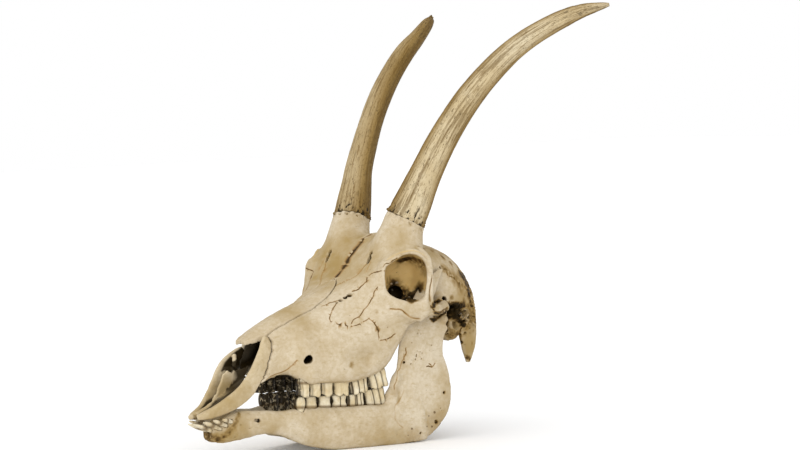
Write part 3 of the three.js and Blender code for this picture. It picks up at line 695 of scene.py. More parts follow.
def seen(block, field, view, places):
    """Where the camera sees places of a view on a field's surface, and the outward directions there."""
    rays = view.rays(places)
    reach = np.arange(*SIGHT_RANGE)
    along = CAMERA + rays[:, None] * reach[:, None]
    values = block.sample(field, along.reshape(-1, 3)).reshape(len(rays), len(reach))
    first = np.argmax(values < 0, axis=1)
    met = first > 0
    rows, first = np.arange(len(rays))[met], first[met]
    before, after = values[rows, first - 1], values[rows, first]
    far = reach[first - 1] + SIGHT_RANGE[2] * before / (before - after)
    points = CAMERA + rays[met] * far[:, None]
    sides = np.eye(3) * block.voxel
    slope = np.stack([block.sample(field, points + k) - block.sample(field, points - k) for k in sides], -1)
    return points, slope / np.linalg.norm(slope, axis=1, keepdims=True), met


def seen_places(block, field, spots):
    """Spots (x, y, reach, amount) in views as places (x, y, z, reach, amount) on a field's surface."""
    out = []
    for view, rows in spots.items():
        rows = np.array(rows, float)
        points, _, met = seen(block, field, view, rows[:, :2])
        for point, (reach, amount) in zip(points, rows[met, 2:]):
            out.append((*point, 1.25 * view.scale * reach, amount))
    return out


class Line:
    """A suture or crack on the left side: its points, how ragged, how wide, how deep, how dark, and
    the view its points are in, if any."""

    def __init__(self, points, ragged=0.5, half=0.35, deep=0.35, dark=1.0, view=None):
        self.points, self.ragged, self.half, self.deep, self.dark = points, ragged, half, deep, dark
        self.view = view

    def on(self, block, field):
        """The line's points in space: the longest run of them without a jump."""
        if self.view is None:
            return np.asarray(self.points, float)
        points = seen(block, field, self.view, self.points)[0]
        steps = np.linalg.norm(np.diff(points, axis=0), axis=1)
        return max(np.split(points, np.flatnonzero(steps > LONGEST_JUMP) + 1), key=len)


FACE_VIEW = View(235, 225, 5.853)
JAW_VIEW = View(185, 325, 8.0)
TEMPLE_VIEW = View(372, 235, 8.0)
BRANCH_VIEW = View(290, 350, 6.142)
PEDICLE_VIEW = View(330, 120, 7.654)


def on_both_sides(line):
    """A line of places and its mirror image."""
    return [line, line * (-1, 1, 1)]


def folded(points):
    """Points brought over to the left side."""
    return np.abs(points * (1, 0, 0)) + points * (0, 1, 1)


def show(name, points, triangles, material, marks, side=LEFT, grown=()):
    """Places a piece in the shared frame and hands it over in place of its CAD node."""
    if side == RIGHT:
        points, triangles = points * (-1, 1, 1), triangles[:, ::-1]
    mesh = as_mesh(name + "_bone", (points + SHIFT) * MM, triangles)
    for mark_name, values in marks.items():
        kind, field = ("FLOAT_VECTOR", "vector") if values.ndim == 2 else ("FLOAT", "value")
        held = mesh.attributes.new(mark_name, kind, "POINT")
        held.data.foreach_set(field, values.ravel().astype(np.float32))
    mesh.shade_smooth()
    mesh.materials.append(material)
    made = in_scene(name + "_bone", mesh)
    for tree, values in grown:
        grow(made, tree, values)
    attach(made, "root")
    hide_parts(name)
    if any(word in name for word in ("molar", "incisor", "canine")):
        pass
    elif "horn" in name:
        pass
    else:
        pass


def grow(made, tree, values):
    """Runs a geometry node tree on an object once, and leaves its result as the object's mesh."""
    modifier = made.modifiers.new("grown", "NODES")
    modifier.node_group = tree
    for socket in tree.interface.items_tree:
        if socket.in_out == "INPUT" and socket.name in values:
            modifier[socket.identifier] = values[socket.name]
    mesh = evaluated(made)
    made.modifiers.remove(modifier)
    mesh.shade_smooth()
    made.data = mesh


LINE_REACH = 2.2  # how far from a line the mesh is made finer
LINE_EDGES = (0.7, 0.4)  # longest edges there after each round of halving


def engraved(points, triangles, lines, laid):
    """The surface with its lines cut in, its normals before that, and how dark each point's line is."""
    for longest in LINE_EDGES:
        if laid:
            chosen = to_lines(points, [one for both in laid for one in both], LINE_REACH) < LINE_REACH
            points, triangles = divided(points, triangles, chosen, longest)
    normals = vertex_normals(points, triangles)
    suture = np.zeros(len(points))
    for number, (line, both) in enumerate(zip(lines, laid)):
        drift = np.stack([rough(points, 4.5, 40 + 3 * number + k, 2) for k in range(3)], -1)
        drift -= normals * np.sum(drift * normals, 1)[:, None]
        far = to_lines(points + line.ragged * drift, both, 3.0)
        band = np.exp(-((far / line.half) ** 2))
        strength = 0.95 + 0.3 * noise(points, 4.0, 90 + number)
        points = points - normals * (band * line.deep * strength)[:, None]
        suture = np.maximum(suture, band * line.dark * strength)
    return points, triangles, normals, suture


def finish_bone(
    name, block, field, outer, material, most, *, side=None, lines=(), swell=0.35, rough_at=None, shade=None,
    stains_and_shade={}, lights={}, areas=(), socket_light_at=None,
):
    """Meshes a field and gives it sutures, weathered relief and the marks its material reads."""
    points, quads, triangles = block.surface(field, mirrored=side is None)
    points, triangles = largest_part(points, all_triangles(triangles, quads))
    points, triangles = thinned(points, triangles, most)
    laid = []
    for line in lines:
        both = on_both_sides(line.on(block, field)) if side is None else [line.on(block, field)]
        laid.append([laid_on(points, triangles, one) for one in both])
    points, triangles, normals, suture = engraved(points, triangles, lines, laid)
    turned = (side or LEFT, 1, 1)  # a right piece is modelled on the left and mirrored by show()
    # painted shade: surfaces lying deeper than the outer form, inside cavities, are darkened, and shade()
    # adds painted shade of its own
    deep = ramp(-block.sample(outer, points), 1.0, 5.0)
    if shade is not None:
        deep = np.maximum(deep, shade(points * turned, normals * turned))
    # dark marks of dirt and of painted shade, given in views and as areas
    stain_and_shade = near_points(points, seen_places(block, field, stains_and_shade))
    stain_and_shade = np.maximum(stain_and_shade, area_marks(points, areas))
    stain_and_shade = np.clip(stain_and_shade * (1 + 0.5 * rough(points, 1.4, 31, 2)), 0, 1)
    # painted highlights on rims and ridges, given in views
    light = near_points(points, seen_places(block, field, lights))
    tone_and_shade = near_points(points * turned, TONES)
    # painted shade: faces turned away from the light are painted tan
    lit_facing = normals * turned @ (LIT_FROM / np.linalg.norm(LIT_FROM))
    tone_and_shade = np.maximum(tone_and_shade, 0.62 * (1 - ramp(lit_facing, -0.1, 0.75)))
    tone_and_shade = np.clip(tone_and_shade + 0.25 * rough(points, 14.0, 21, 3), 0, 1)
    share = block.sample(blurred(field, 2), points)
    wide = block.sample(blurred(field, 6), points)
    edge = np.clip((0.44 - share) * 5, 0, 1)
    # painted shade in hollows and recesses, from how much bone lies round each point
    hollow_shade = np.clip((share - 0.515) * 6, 0, 1) * 0.7 + np.clip((wide - 0.55) * 4, 0, 1) * 0.5
    # painted light in the eye sockets: their walls get a brighter colour and their painted hollow shade is
    # lifted
    socket_light = np.zeros(len(points)) if socket_light_at is None else socket_light_at(points)
    hollow_shade *= 1 - socket_light
    pitted = np.zeros(len(points)) if rough_at is None else rough_at(points)
    lumps = swell * rough(points, 9.0, 5, 2) + 0.12 * rough(points, 2.4, 9, 2)
    lumps -= pitted * (0.5 * np.abs(rough(points, 3.0, 13, 3)) + 0.1)
    points = points + normals * lumps[:, None]
    points[:, 2] = np.maximum(points[:, 2], 0)  # nothing reaches below the ground
    marks = {
        "socket_light": socket_light, "suture": suture, "deep": deep, "hollow_shade": hollow_shade, "edge": edge, "pitted": pitted,
        "tone_and_shade": tone_and_shade, "stain_and_shade": stain_and_shade, "light": light,
    }
    show(name, points, triangles, material, marks, side=side)


def area_marks(points, areas):
    """Amounts inside outlines drawn on the side of the skull, within a range of depths; both sides alike."""
    out = np.zeros(len(points))
    left = folded(points)
    depth = left @ VIEW_DEPTH
    for view, outline, (near, far), amount, soft in areas:
        inside = outline_distance(view.of(left), outline) * view.scale
        share = 1 - ramp(inside + (0.3 + 0.4 * soft) * rough(points, 2.3, len(outline), 3), -soft, soft)
        share *= ramp(depth, near - 3, near) * (1 - ramp(depth, far + 1, far + 3))
        out = np.maximum(out, amount * share)
    return out


def near_points(points, places):
    """1 at the given places (x, y, z, reach, and 1 or another amount), falling to 0 at their reach.
    A place with a positive x counts on both sides."""
    out = np.zeros(len(points))
    for x, y, z, reach, *amount in places:
        across = points[:, 0] - x if x < 0 else np.abs(points[:, 0]) - x
        far = np.sqrt(across**2 + (points[:, 1] - y) ** 2 + (points[:, 2] - z) ** 2)
        out = np.maximum(out, (1 - ramp(far, 0.35 * reach, reach)) * (amount[0] if amount else 1))
    return out


# ------------------------------------------------------------------ cranium

UP = (0, 0, 1)
ALONG = (0, 1, 0)
THROUGH = np.array([-0.77, 0.64, 0.0])
HORN_AXIS = np.array([HORN[1][k] - HORN[0][k] for k in range(3)])
HORN_AXIS = HORN_AXIS / np.linalg.norm(HORN_AXIS)
SMALLEST_PORE = 0.45
CRANIUM_FACES, JAW_FACES, NOSE_FACES = 135000, 90000, 30000  # the most triangles a piece starts from
HEAD_BOX, HEAD_VOXEL = ((0, -143, 43), (63, 63, 166)), 0.8
JAW_BOX, JAW_VOXEL = ((-2, -172, -2), (55, 19, 121)), 0.75
NASAL_BOX, MUZZLE_BOX, NOSE_VOXEL = ((-1, -139, 70), (16, -52, 117)), ((-1, -183, 26), (22, -117, 84)), 0.5
TOOTH_ROOM = 0.35  # the clearance round a cheek tooth in its socket
SEAM = 0.2  # half the clearance between a horn core and its pedicle
SUTURE_GAP = 0.42  # half the clearance between neighbouring bones of the muzzle
NOSE_THICK = 2.4
SOCKET_WALL = 2.2
SOCKET_MIDDLE = np.mean(SOCKET_EDGE, axis=0)


def socket_rings():
    """Rings down the eye socket, from its rim to its floor."""
    edge = rounded(np.array([SOCKET_EDGE], float), 3)[0]
    before, after = np.roll(edge, 1, 0), np.roll(edge, -1, 0)
    edge = (np.roll(edge, 2, 0) + 2 * before + 3 * edge + 2 * after + np.roll(edge, -2, 0)) / 9
    centre = edge.mean(0)
    inward = -np.array(SOCKET_FACES) / np.linalg.norm(SOCKET_FACES)
    depths = [depth for depth, _ in SOCKET_RINGS]
    where = np.linspace(depths[0], depths[-1], 18)
    share = through(depths, [[s] for _, s in SOCKET_RINGS], where)
    return centre + (edge - centre) * share[:, :, None] + inward * where[:, None, None]


def rim_field(block, path, thick):
    """Distance to a closed tube along a path."""
    path = rounded(np.array([path], float), 4)[0]
    n = len(path)
    tube = np.vstack([path[: n // 2 + 2], path[n // 2 + 2:], path[:1]])
    halves = (tube[: n // 2 + 3], tube[n // 2:])
    limbs = [limb_rings([(*p, thick, thick) for p in half], around=12, per=1) for half in halves]
    return np.minimum(*[block.of(rings) for rings in limbs])


def plane(block, place, facing):
    """Distance from a plane, positive on the side it faces."""
    ax = block.axes()
    total = 0
    for k in range(3):
        total = total + along_axis(facing[k] * (ax[k] - place[k]), k)
    return total.astype(np.float32)


def outline_distance(places, outline):
    """Distance from places in a plane to a closed outline, negative inside it."""
    u, v = places[..., 0], places[..., 1]
    outline = np.asarray(outline, float)
    far = np.full(u.shape, 1e9)
    inside = np.zeros(u.shape, bool)
    for (x0, y0), (x1, y1) in zip(outline, np.roll(outline, -1, axis=0)):
        dx, dy = x1 - x0, y1 - y0
        share = np.clip(((u - x0) * dx + (v - y0) * dy) / (dx * dx + dy * dy + 1e-12), 0, 1)
        far = np.minimum(far, np.hypot(u - x0 - share * dx, v - y0 - share * dy))
        if dy != 0:
            inside ^= ((y0 > v) != (y1 > v)) & (u < dx * (v - y0) / dy + x0)
    return np.where(inside, -far, far)


def outline_field(block, outline, over=(0, 1)):
    """Distance to an upright wall round a closed outline given in two of the axes."""
    ax = block.axes()
    u, v = np.meshgrid(ax[over[0]], ax[over[1]], indexing="ij")
    signed = outline_distance(np.stack([u, v], -1), outline).astype(np.float32)
    shape = [1, 1, 1]
    shape[over[0]], shape[over[1]] = signed.shape
    return np.broadcast_to(signed.reshape(shape), block.dims)


def dig(block, field, start, end, radius, soft=0.3):
    """Takes a round-ended bore out of a field, in place."""
    start, end = np.array(start, float), np.array(end, float)
    low = np.floor((np.minimum(start, end) - radius - 2) / block.voxel).astype(int) - block.low
    high = np.ceil((np.maximum(start, end) + radius + 2) / block.voxel).astype(int) - block.low
    low, high = np.maximum(low, 0), np.minimum(high, block.dims)
    if np.any(high <= low):
        return
    window = tuple(slice(a, b) for a, b in zip(low, high))
    ax = [block.axes()[k][window[k]] for k in range(3)]
    p = np.stack(np.meshgrid(*ax, indexing="ij"), -1)
    along = end - start
    share = np.clip((p - start) @ along / max(along @ along, 1e-9), 0, 1)
    bore = np.linalg.norm(p - start - share[..., None] * along, axis=-1) - radius
    field[window] = cut(field[window], bore, soft)


def raise_ridge(block, field, start, end, radius, soft):
    """Adds a round-ended ridge to a field, in place."""
    field *= -1
    dig(block, field, start, end, radius, soft)
    field *= -1


def dig_pores(block, field, pores):
    """Small bores into the surface of a field: (x, y, radius) in views."""
    for view, rows in pores.items():
        rows = np.array(rows, float)
        places, facing, met = seen(block, field, view, rows[:, :2])
        for place, out, radius in zip(places, facing, rows[met, 2] * view.scale):
            radius = max(radius, SMALLEST_PORE)
            dig(block, field, place, place - 1.6 * radius * out, radius)


def scatter_pits(block, field, places, count, sizes, seed):
    """Small pits at random places on the surface near the given places (x, y, z, reach)."""
    rng = np.random.default_rng(seed)
    shell = np.argwhere(np.abs(field) < 0.5 * block.voxel)
    points = (shell + block.low) * block.voxel
    near = near_points(points, places)
    kept = points[rng.uniform(0, 1, len(points)) < near]
    if len(kept) == 0:
        return
    for centre in kept[rng.integers(0, len(kept), count)]:
        radius = rng.uniform(*sizes)
        lean = rng.normal(0, 1, 3) * radius * 0.8
        dig(block, field, centre - lean, centre + lean, radius, 0.2)


def nose_outline(side_margin):
    """Places along the nasal bones, and their ragged half width there with a margin."""
    rows = np.array([(y, reach) for y, _, reach, _ in NOSE_BONE], float)
    where = np.linspace(rows[0, 0], rows[-1, 0], 60)
    reach = through(rows[:, 0], rows[:, 1:], where)[:, 0]
    reach = reach + 0.5 * noise(np.stack([where, where * 0, where * 0], -1), 4.0, 7) + side_margin
    return where, reach


def strip_outline(left, right, where):
    """The closed outline of a strip between two edges."""
    return np.stack([np.concatenate([left, right[::-1]]), np.concatenate([where, where[::-1]])], -1)


def muzzle_cut(block):
    """Positive before the suture between the muzzle bones and the upper jaw."""
    y = block.axes()[1][None, :, None]
    z = block.axes()[2][None, None, :]
    heights = [row[1] for row in MUZZLE_SUTURE]
    edge = np.interp(z, heights, [row[0] for row in MUZZLE_SUTURE])
    ragged = 0.7 * np.sin(z * 1.3 + np.sin(z * 0.47) * 2) * np.sin(z * 0.31 + 1)
    far = (edge + ragged - y) * 0.87
    return np.broadcast_to(far, block.dims).astype(np.float32)


def tooth_sockets(block, row, side_seed):
    """The distance to each cheek tooth of a row, to make room for it."""
    return [block.of(tooth_rings(row, number, side_seed)[0]) for number in range(len(row["teeth"]))]


# bores: (start, end, radius)
HOLES = [
    # infraorbital hole, with a lit inner edge
    ((30.5, -102.6, 63.6), (22, -98, 64.5), 3.0),
    ((31.6, -105.0, 62.4), (27, -103, 62.8), 2.1),
    # slot above the eye socket
    ((22.4, -38.4, 131.4), (22.6, -35, 124), 1.6),
    ((22.6, -40.6, 128.6), (22.6, -37.6, 123), 1.7),
    ((22.6, -42, 126.2), (22.6, -39.6, 122), 1.3),
    # open fissure at the front of the tear bone
    ((26.6, -60.6, 105.6), (20, -61, 99), 1.7),
    ((25.6, -64.0, 103.8), (19, -64, 98), 1.2),
    ((24.0, -67.4, 101.9), (18, -67, 96), 1.3),
    ((23.0, -70.2, 100.2), (18, -70, 96), 0.8),
    # hollows of the eye socket: the deep one at the front, the floor, slots in the rear wall
    ((27.5, -21.5, 103.6), (14, -13, 101), 5.4),
    ((34, -31, 98.5), (27, -15, 97), 4.2),
    ((33.5, -37, 106), (27, -31, 104), 1.9),
    ((29.4, 2.6, 113.2), (24.6, -5.6, 105.4), 1.0),
    ((29.6, 1.0, 109.4), (27.0, -8.0, 101.2), 1.6),
    ((36, -26, 119), (31, -20, 118), 0.7),
    ((40, -20, 124), (35, -16, 123), 0.8),
    # temporal hollows over the root of the cheek arch
    ((44.5, 0.5, 97.2), (39.5, 11.5, 97.6), 1.7),
    ((38, 14, 97), (28, 19, 95), 2.0),
]
SOCKET_FRONT = [
    (36, -46, 102, 2, 2), (38, -43.6, 110, 2.8, 2.8), (38.6, -42.4, 118, 3, 3), (40, -40.5, 126, 2.4, 2.4),
]
EAR_HOLLOW = [
    ((37, 24, 88.5), (28, 27, 86), 4.6),
    ((37, 28, 80), (30, 32, 78), 4.4),
    ((34, 37, 84), (28, 37, 82), 4.2),
    ((34, 22, 81), (27, 22, 78), 3.4),
]
RIDGES = [
    # (start, end, radius, softness): over the ear, over the cheek, and on the rear wall of the eye socket
    ((20, 28, 92), (24, 36, 90), 7.0, 3.0),
    ((45.6, -44.6, 95.4), (50.6, -38.8, 92.6), 1.5, 3.0),
    ((50.6, -38.8, 92.6), (53.6, -33.0, 88.4), 1.6, 3.0),
    ((53.6, -33.0, 88.4), (54.6, -24, 86.6), 1.7, 3.0),
    ((28.6, 4.4, 116), (24.6, -5.0, 108.2), 1.3, 1.2),
    ((28.4, 2.6, 111.2), (26.6, -8, 103.6), 1.2, 1.0),
]
RECESSES = [
    # shallow dips of the surface: (start, end, radius)
    ((52.5, -47.5, 87.5), (55.5, -37, 81), 5.0),
    ((46, -71, 62), (47, -60, 60), 9.0),
]
GROOVES = [
    # (path, radius): shallow channels sunk by half their radius
    ([(22.8, -41.5, 127.6), (22.3, -47, 120), (21.5, -53, 113.5), (19.5, -61, 108)], 1.7),
]
# where the bone is rough: (x, y, z, reach)
ROUGH_PLACES = [
    (0, 53, 116, 14), (10, 51, 112, 12), (20, 50, 103, 12), (27, 47, 93, 11), (31, 43, 83, 11),
    (30, 41, 74, 9), (36, 33, 84, 10), (24, 28, 70, 10), (38, 12, 94, 9), (28, 20, 116, 7),
]
SUTURES = [
    # middle suture of the forehead
    Line([(0, -19, 143), (0, -37, 131), (0, -54, 114)], 0.3, 0.4, 0.3, 1.0),
    # forehead to upper jaw
    Line([(505, 478), (540, 462), (600, 442), (640, 427)], 0.8, 0.36, 0.3, 0.85, FACE_VIEW),
    # forehead to tear bone
    Line([(688, 392), (715, 385), (740, 360), (760, 335), (775, 312), (800, 285), (835, 272), (876, 266)],
         0.9, 0.42, 0.35, 1.0, FACE_VIEW),
    # broken rim of the eye socket
    Line([(95, 262), (110, 235), (140, 215), (165, 205), (192, 190)], 1.6, 0.45, 0.5, 0.9, TEMPLE_VIEW),
    # edge of the tear bone
    Line([(600, 455), (572, 490), (562, 520), (553, 545), (570, 572), (605, 577), (640, 587), (680, 592),
          (720, 580), (760, 562), (785, 545)], 0.5, 0.34, 0.3, 0.95, FACE_VIEW),
    # tear bone to cheek bone
    Line([(680, 578), (690, 558), (730, 530), (755, 495), (780, 465), (800, 430), (815, 390), (835, 362)],
         0.5, 0.34, 0.3, 0.85, FACE_VIEW),
    # upper jaw to cheek bone
    Line([(785, 545), (800, 562), (825, 590), (835, 640), (850, 668), (880, 670), (905, 658), (938, 632)],
         0.9, 0.36, 0.3, 0.9, FACE_VIEW),
    # channel under the hole over the left eye
    Line([(798, 190), (785, 230), (765, 272)], 0.4, 0.5, 0.2, 0.35, FACE_VIEW),
    # channel under the hole over the right eye
    Line([(550, 185), (530, 230), (508, 290), (492, 350), (478, 385)], 0.4, 0.5, 0.2, 0.5, FACE_VIEW),
    # crest before the cheek hole
    Line([(895, 280), (830, 342), (760, 385), (700, 408), (650, 440)], 0.4, 0.5, 0.2, 0.6, JAW_VIEW),
    # crest of the cheek bone
    Line([(150, 588), (200, 592), (250, 606), (285, 640), (330, 668), (380, 674), (440, 660)],
         0.4, 0.8, 0.8, 0.5, TEMPLE_VIEW),
    # front edge of the temple
    Line([(508, 300), (480, 340), (464, 400), (460, 470), (462, 530)], 0.4, 0.5, 0.4, 0.75, TEMPLE_VIEW),
    # braincase suture
    Line([(600, 300), (630, 325), (660, 350), (700, 385), (735, 402), (755, 425), (770, 455), (782, 488)],
         1.4, 0.5, 0.5, 1.0, TEMPLE_VIEW),
    # ends of the cheek arch
    Line([(482, 588), (500, 612), (530, 620), (570, 606), (602, 585)], 0.5, 0.6, 0.6, 1.0, TEMPLE_VIEW),
    Line([(474, 560), (500, 530), (530, 514), (556, 518)], 0.5, 0.6, 0.6, 1.0, TEMPLE_VIEW),
    # behind the ear capsule
    Line([(715, 745), (700, 780), (690, 830), (715, 858)], 0.6, 0.7, 0.6, 1.0, TEMPLE_VIEW),
    # edge of the neck face
    Line([(800, 500), (815, 560), (822, 620), (800, 680), (770, 715)], 1.6, 0.45, 0.4, 0.8, TEMPLE_VIEW),
]
# pores of the surface: (x, y, radius) in a view
PORES_DUG = {
    TEMPLE_VIEW: [
        (522, 312, 9), (530, 280, 7), (548, 258, 9), (562, 242, 6), (582, 266, 9), (600, 272, 7),
        (640, 335, 6), (668, 322, 5), (330, 215, 6), (350, 227, 6), (366, 242, 7), (390, 236, 6),
        (410, 252, 7), (425, 272, 6), (345, 252, 5), (382, 266, 6), (400, 287, 6), (300, 205, 6),
        (270, 212, 5), (655, 740, 6), (662, 702, 6), (740, 880, 6), (795, 712, 7), (788, 745, 6),
        (600, 800, 7), (690, 262, 7), (660, 245, 5), (610, 205, 6), (560, 170, 5), (480, 120, 5),
        (125, 742, 5), (178, 632, 4),
    ],
    FACE_VIEW: [
        (410, 612, 4), (442, 572, 3), (572, 532, 3), (720, 505, 3),
    ],
    PEDICLE_VIEW: [
        (487, 785, 6),
    ],
}
# where dirt and painted shade darken the bone, and where painted highlights lighten it: (x, y, reach, amount)
STAINS_AND_SHADE = {
    TEMPLE_VIEW: [
        (225, 203, 34, 0.75), (262, 190, 36, 0.85), (300, 188, 36, 0.85), (340, 192, 34, 0.8),
        (380, 205, 30, 0.7), (412, 228, 26, 0.6), (190, 435, 66, 1), (170, 480, 50, 1), (220, 495, 48, 1),
        (262, 515, 36, 0.95), (310, 530, 30, 0.9), (150, 420, 30, 0.8), (345, 480, 36, 0.8),
        (378, 430, 22, 0.7), (320, 505, 28, 0.8), (300, 470, 24, 0.7), (705, 300, 34, 0.9), (738, 325, 32, 1),
        (752, 352, 26, 0.9), (770, 395, 20, 0.8), (775, 470, 22, 1), (690, 262, 18, 0.6), (495, 548, 16, 1),
        (520, 530, 18, 1), (542, 524, 14, 1), (490, 672, 20, 1), (516, 670, 16, 1), (548, 655, 14, 0.8),
        (640, 560, 42, 1), (680, 580, 42, 1), (650, 612, 36, 1), (690, 640, 44, 1), (722, 690, 28, 1),
        (735, 722, 24, 1), (618, 625, 26, 0.9), (600, 672, 20, 1), (582, 722, 16, 1), (570, 770, 12, 0.8),
        (705, 560, 38, 0.95), (742, 545, 28, 0.8), (770, 560, 20, 0.6), (738, 605, 22, 1), (692, 840, 26, 1),
        (715, 858, 18, 1), (705, 790, 16, 0.9), (760, 985, 18, 0.8), (785, 995, 14, 0.8), (832, 800, 14, 0.7),
        (800, 870, 12, 0.6), (815, 650, 16, 0.7), (412, 105, 20, 0.5), (480, 125, 26, 0.55),
        (560, 175, 26, 0.5), (630, 225, 26, 0.55), (790, 420, 16, 0.8), (700, 385, 16, 0.6),
        (660, 348, 12, 0.6), (640, 500, 30, 0.4), (470, 575, 16, 0.8), (600, 590, 18, 0.6),
        (30, 610, 20, 0.2),
    ],
    BRANCH_VIEW: [
        (375, 90, 26, 0.35),
    ],
}
PAINTED_HIGHLIGHTS = {
    TEMPLE_VIEW: [
        (748, 592, 10, 1), (722, 605, 9, 1), (712, 630, 9, 1), (725, 652, 9, 1), (750, 662, 9, 1),
        (770, 640, 9, 0.8), (150, 412, 9, 0.7), (152, 388, 9, 0.8), (172, 376, 9, 0.8), (200, 384, 9, 0.8),
        (165, 440, 8, 0.6), (300, 492, 10, 0.8), (335, 506, 9, 0.7), (275, 520, 8, 0.6), (505, 595, 9, 0.8),
        (540, 600, 10, 0.8),
    ],
}
# the outline of the painted shade under the jaw joint
UNDER_JOINT = [
    (452, 655), (480, 668), (520, 655), (570, 615), (610, 585), (600, 620), (560, 650), (520, 685),
    (490, 697), (465, 680),
]
# areas of stain and painted shade: (view, outline in it, range of distances along VIEW_DEPTH, amount,
# softness)
SKULL_AREAS = [
    # floor and rear of the eye socket, then its roof
    (TEMPLE_VIEW, [
        (125, 395), (150, 365), (185, 350), (215, 365), (245, 410), (270, 450), (300, 470), (345, 440),
        (375, 400), (400, 400), (385, 450), (360, 510), (335, 546), (290, 548), (230, 542), (180, 522),
        (140, 495), (115, 460),
    ], (8, 58), 0.9, 4.0),
    (TEMPLE_VIEW, [
        (185, 195), (225, 170), (300, 150), (360, 165), (405, 195), (440, 240), (448, 300), (420, 330),
        (390, 280), (340, 230), (280, 215), (230, 225), (200, 240),
    ], (26, 57), 0.34, 4.0),
    # round the ear hole, then the neck face
    (TEMPLE_VIEW, [
        (605, 545), (640, 530), (700, 535), (750, 545), (765, 570), (715, 585), (700, 620), (705, 660),
        (735, 690), (735, 735), (705, 725), (680, 690), (640, 660), (610, 700), (585, 760), (570, 740),
        (590, 690), (605, 640), (600, 600),
    ], (-6, 20), 1.0, 1.4),
    (TEMPLE_VIEW, [
        (760, 560), (800, 520), (830, 600), (835, 720), (800, 700), (770, 700), (740, 760), (720, 800),
        (700, 760), (620, 740), (590, 800), (620, 840), (700, 830), (780, 740),
    ], (-10, 8), 0.42, 1.8),
    # slots at the rear end of the cheek arch
    (TEMPLE_VIEW, [
        (470, 590), (480, 560), (500, 532), (530, 516), (556, 520), (545, 540), (510, 560), (492, 585),
    ], (-10, 60), 0.95, 0.8),
    (TEMPLE_VIEW, [
        (490, 612), (515, 618), (560, 608), (590, 585), (600, 590), (570, 622), (530, 634), (500, 630),
    ], (-10, 60), 0.7, 0.7),
    (TEMPLE_VIEW, UNDER_JOINT, (-10, 60), 1.0, 0.8),
    # rough rear edge and roof of the braincase
    (TEMPLE_VIEW, [
        (690, 285), (735, 300), (775, 370), (790, 440), (800, 520), (822, 620), (838, 700), (820, 700),
        (795, 600), (770, 500), (745, 400), (700, 330),
    ], (-60, 14), 0.8, 1.6),
    (TEMPLE_VIEW, [
        (560, 230), (640, 270), (700, 300), (745, 370), (770, 480), (740, 520), (700, 470), (640, 380),
        (600, 320), (560, 290),
    ], (-40, 30), 0.36, 2.6),
    (TEMPLE_VIEW, [
        (420, 88), (500, 108), (600, 165), (700, 240), (760, 310), (745, 315), (680, 245), (590, 180),
        (490, 125), (425, 105),
    ], (-60, 30), 0.36, 1.2),
    # tip of the neck process and front of the ear capsule
    (TEMPLE_VIEW, [
        (742, 960), (760, 955), (790, 965), (800, 985), (780, 1003), (755, 995),
    ], (-30, 10), 0.7, 1.0),
    (TEMPLE_VIEW, [
        (560, 740), (575, 690), (600, 640), (640, 620), (625, 660), (600, 700), (585, 760), (575, 800),
        (560, 800),
    ], (-12, 20), 0.9, 1.0),
]
# areas of painted shade and stain on the lower jaw, in the same columns
JAW_AREAS = [
    # round the roots of the front teeth
    (JAW_VIEW, [
        (430, 690), (400, 760), (330, 860), (270, 880), (200, 850), (120, 845), (170, 900), (250, 950),
        (300, 930), (360, 890), (420, 800), (440, 730),
    ], (98, 112), 0.6, 2.2),
    # under the joint
    (TEMPLE_VIEW, UNDER_JOINT, (-10, 60), 0.9, 0.8),
]


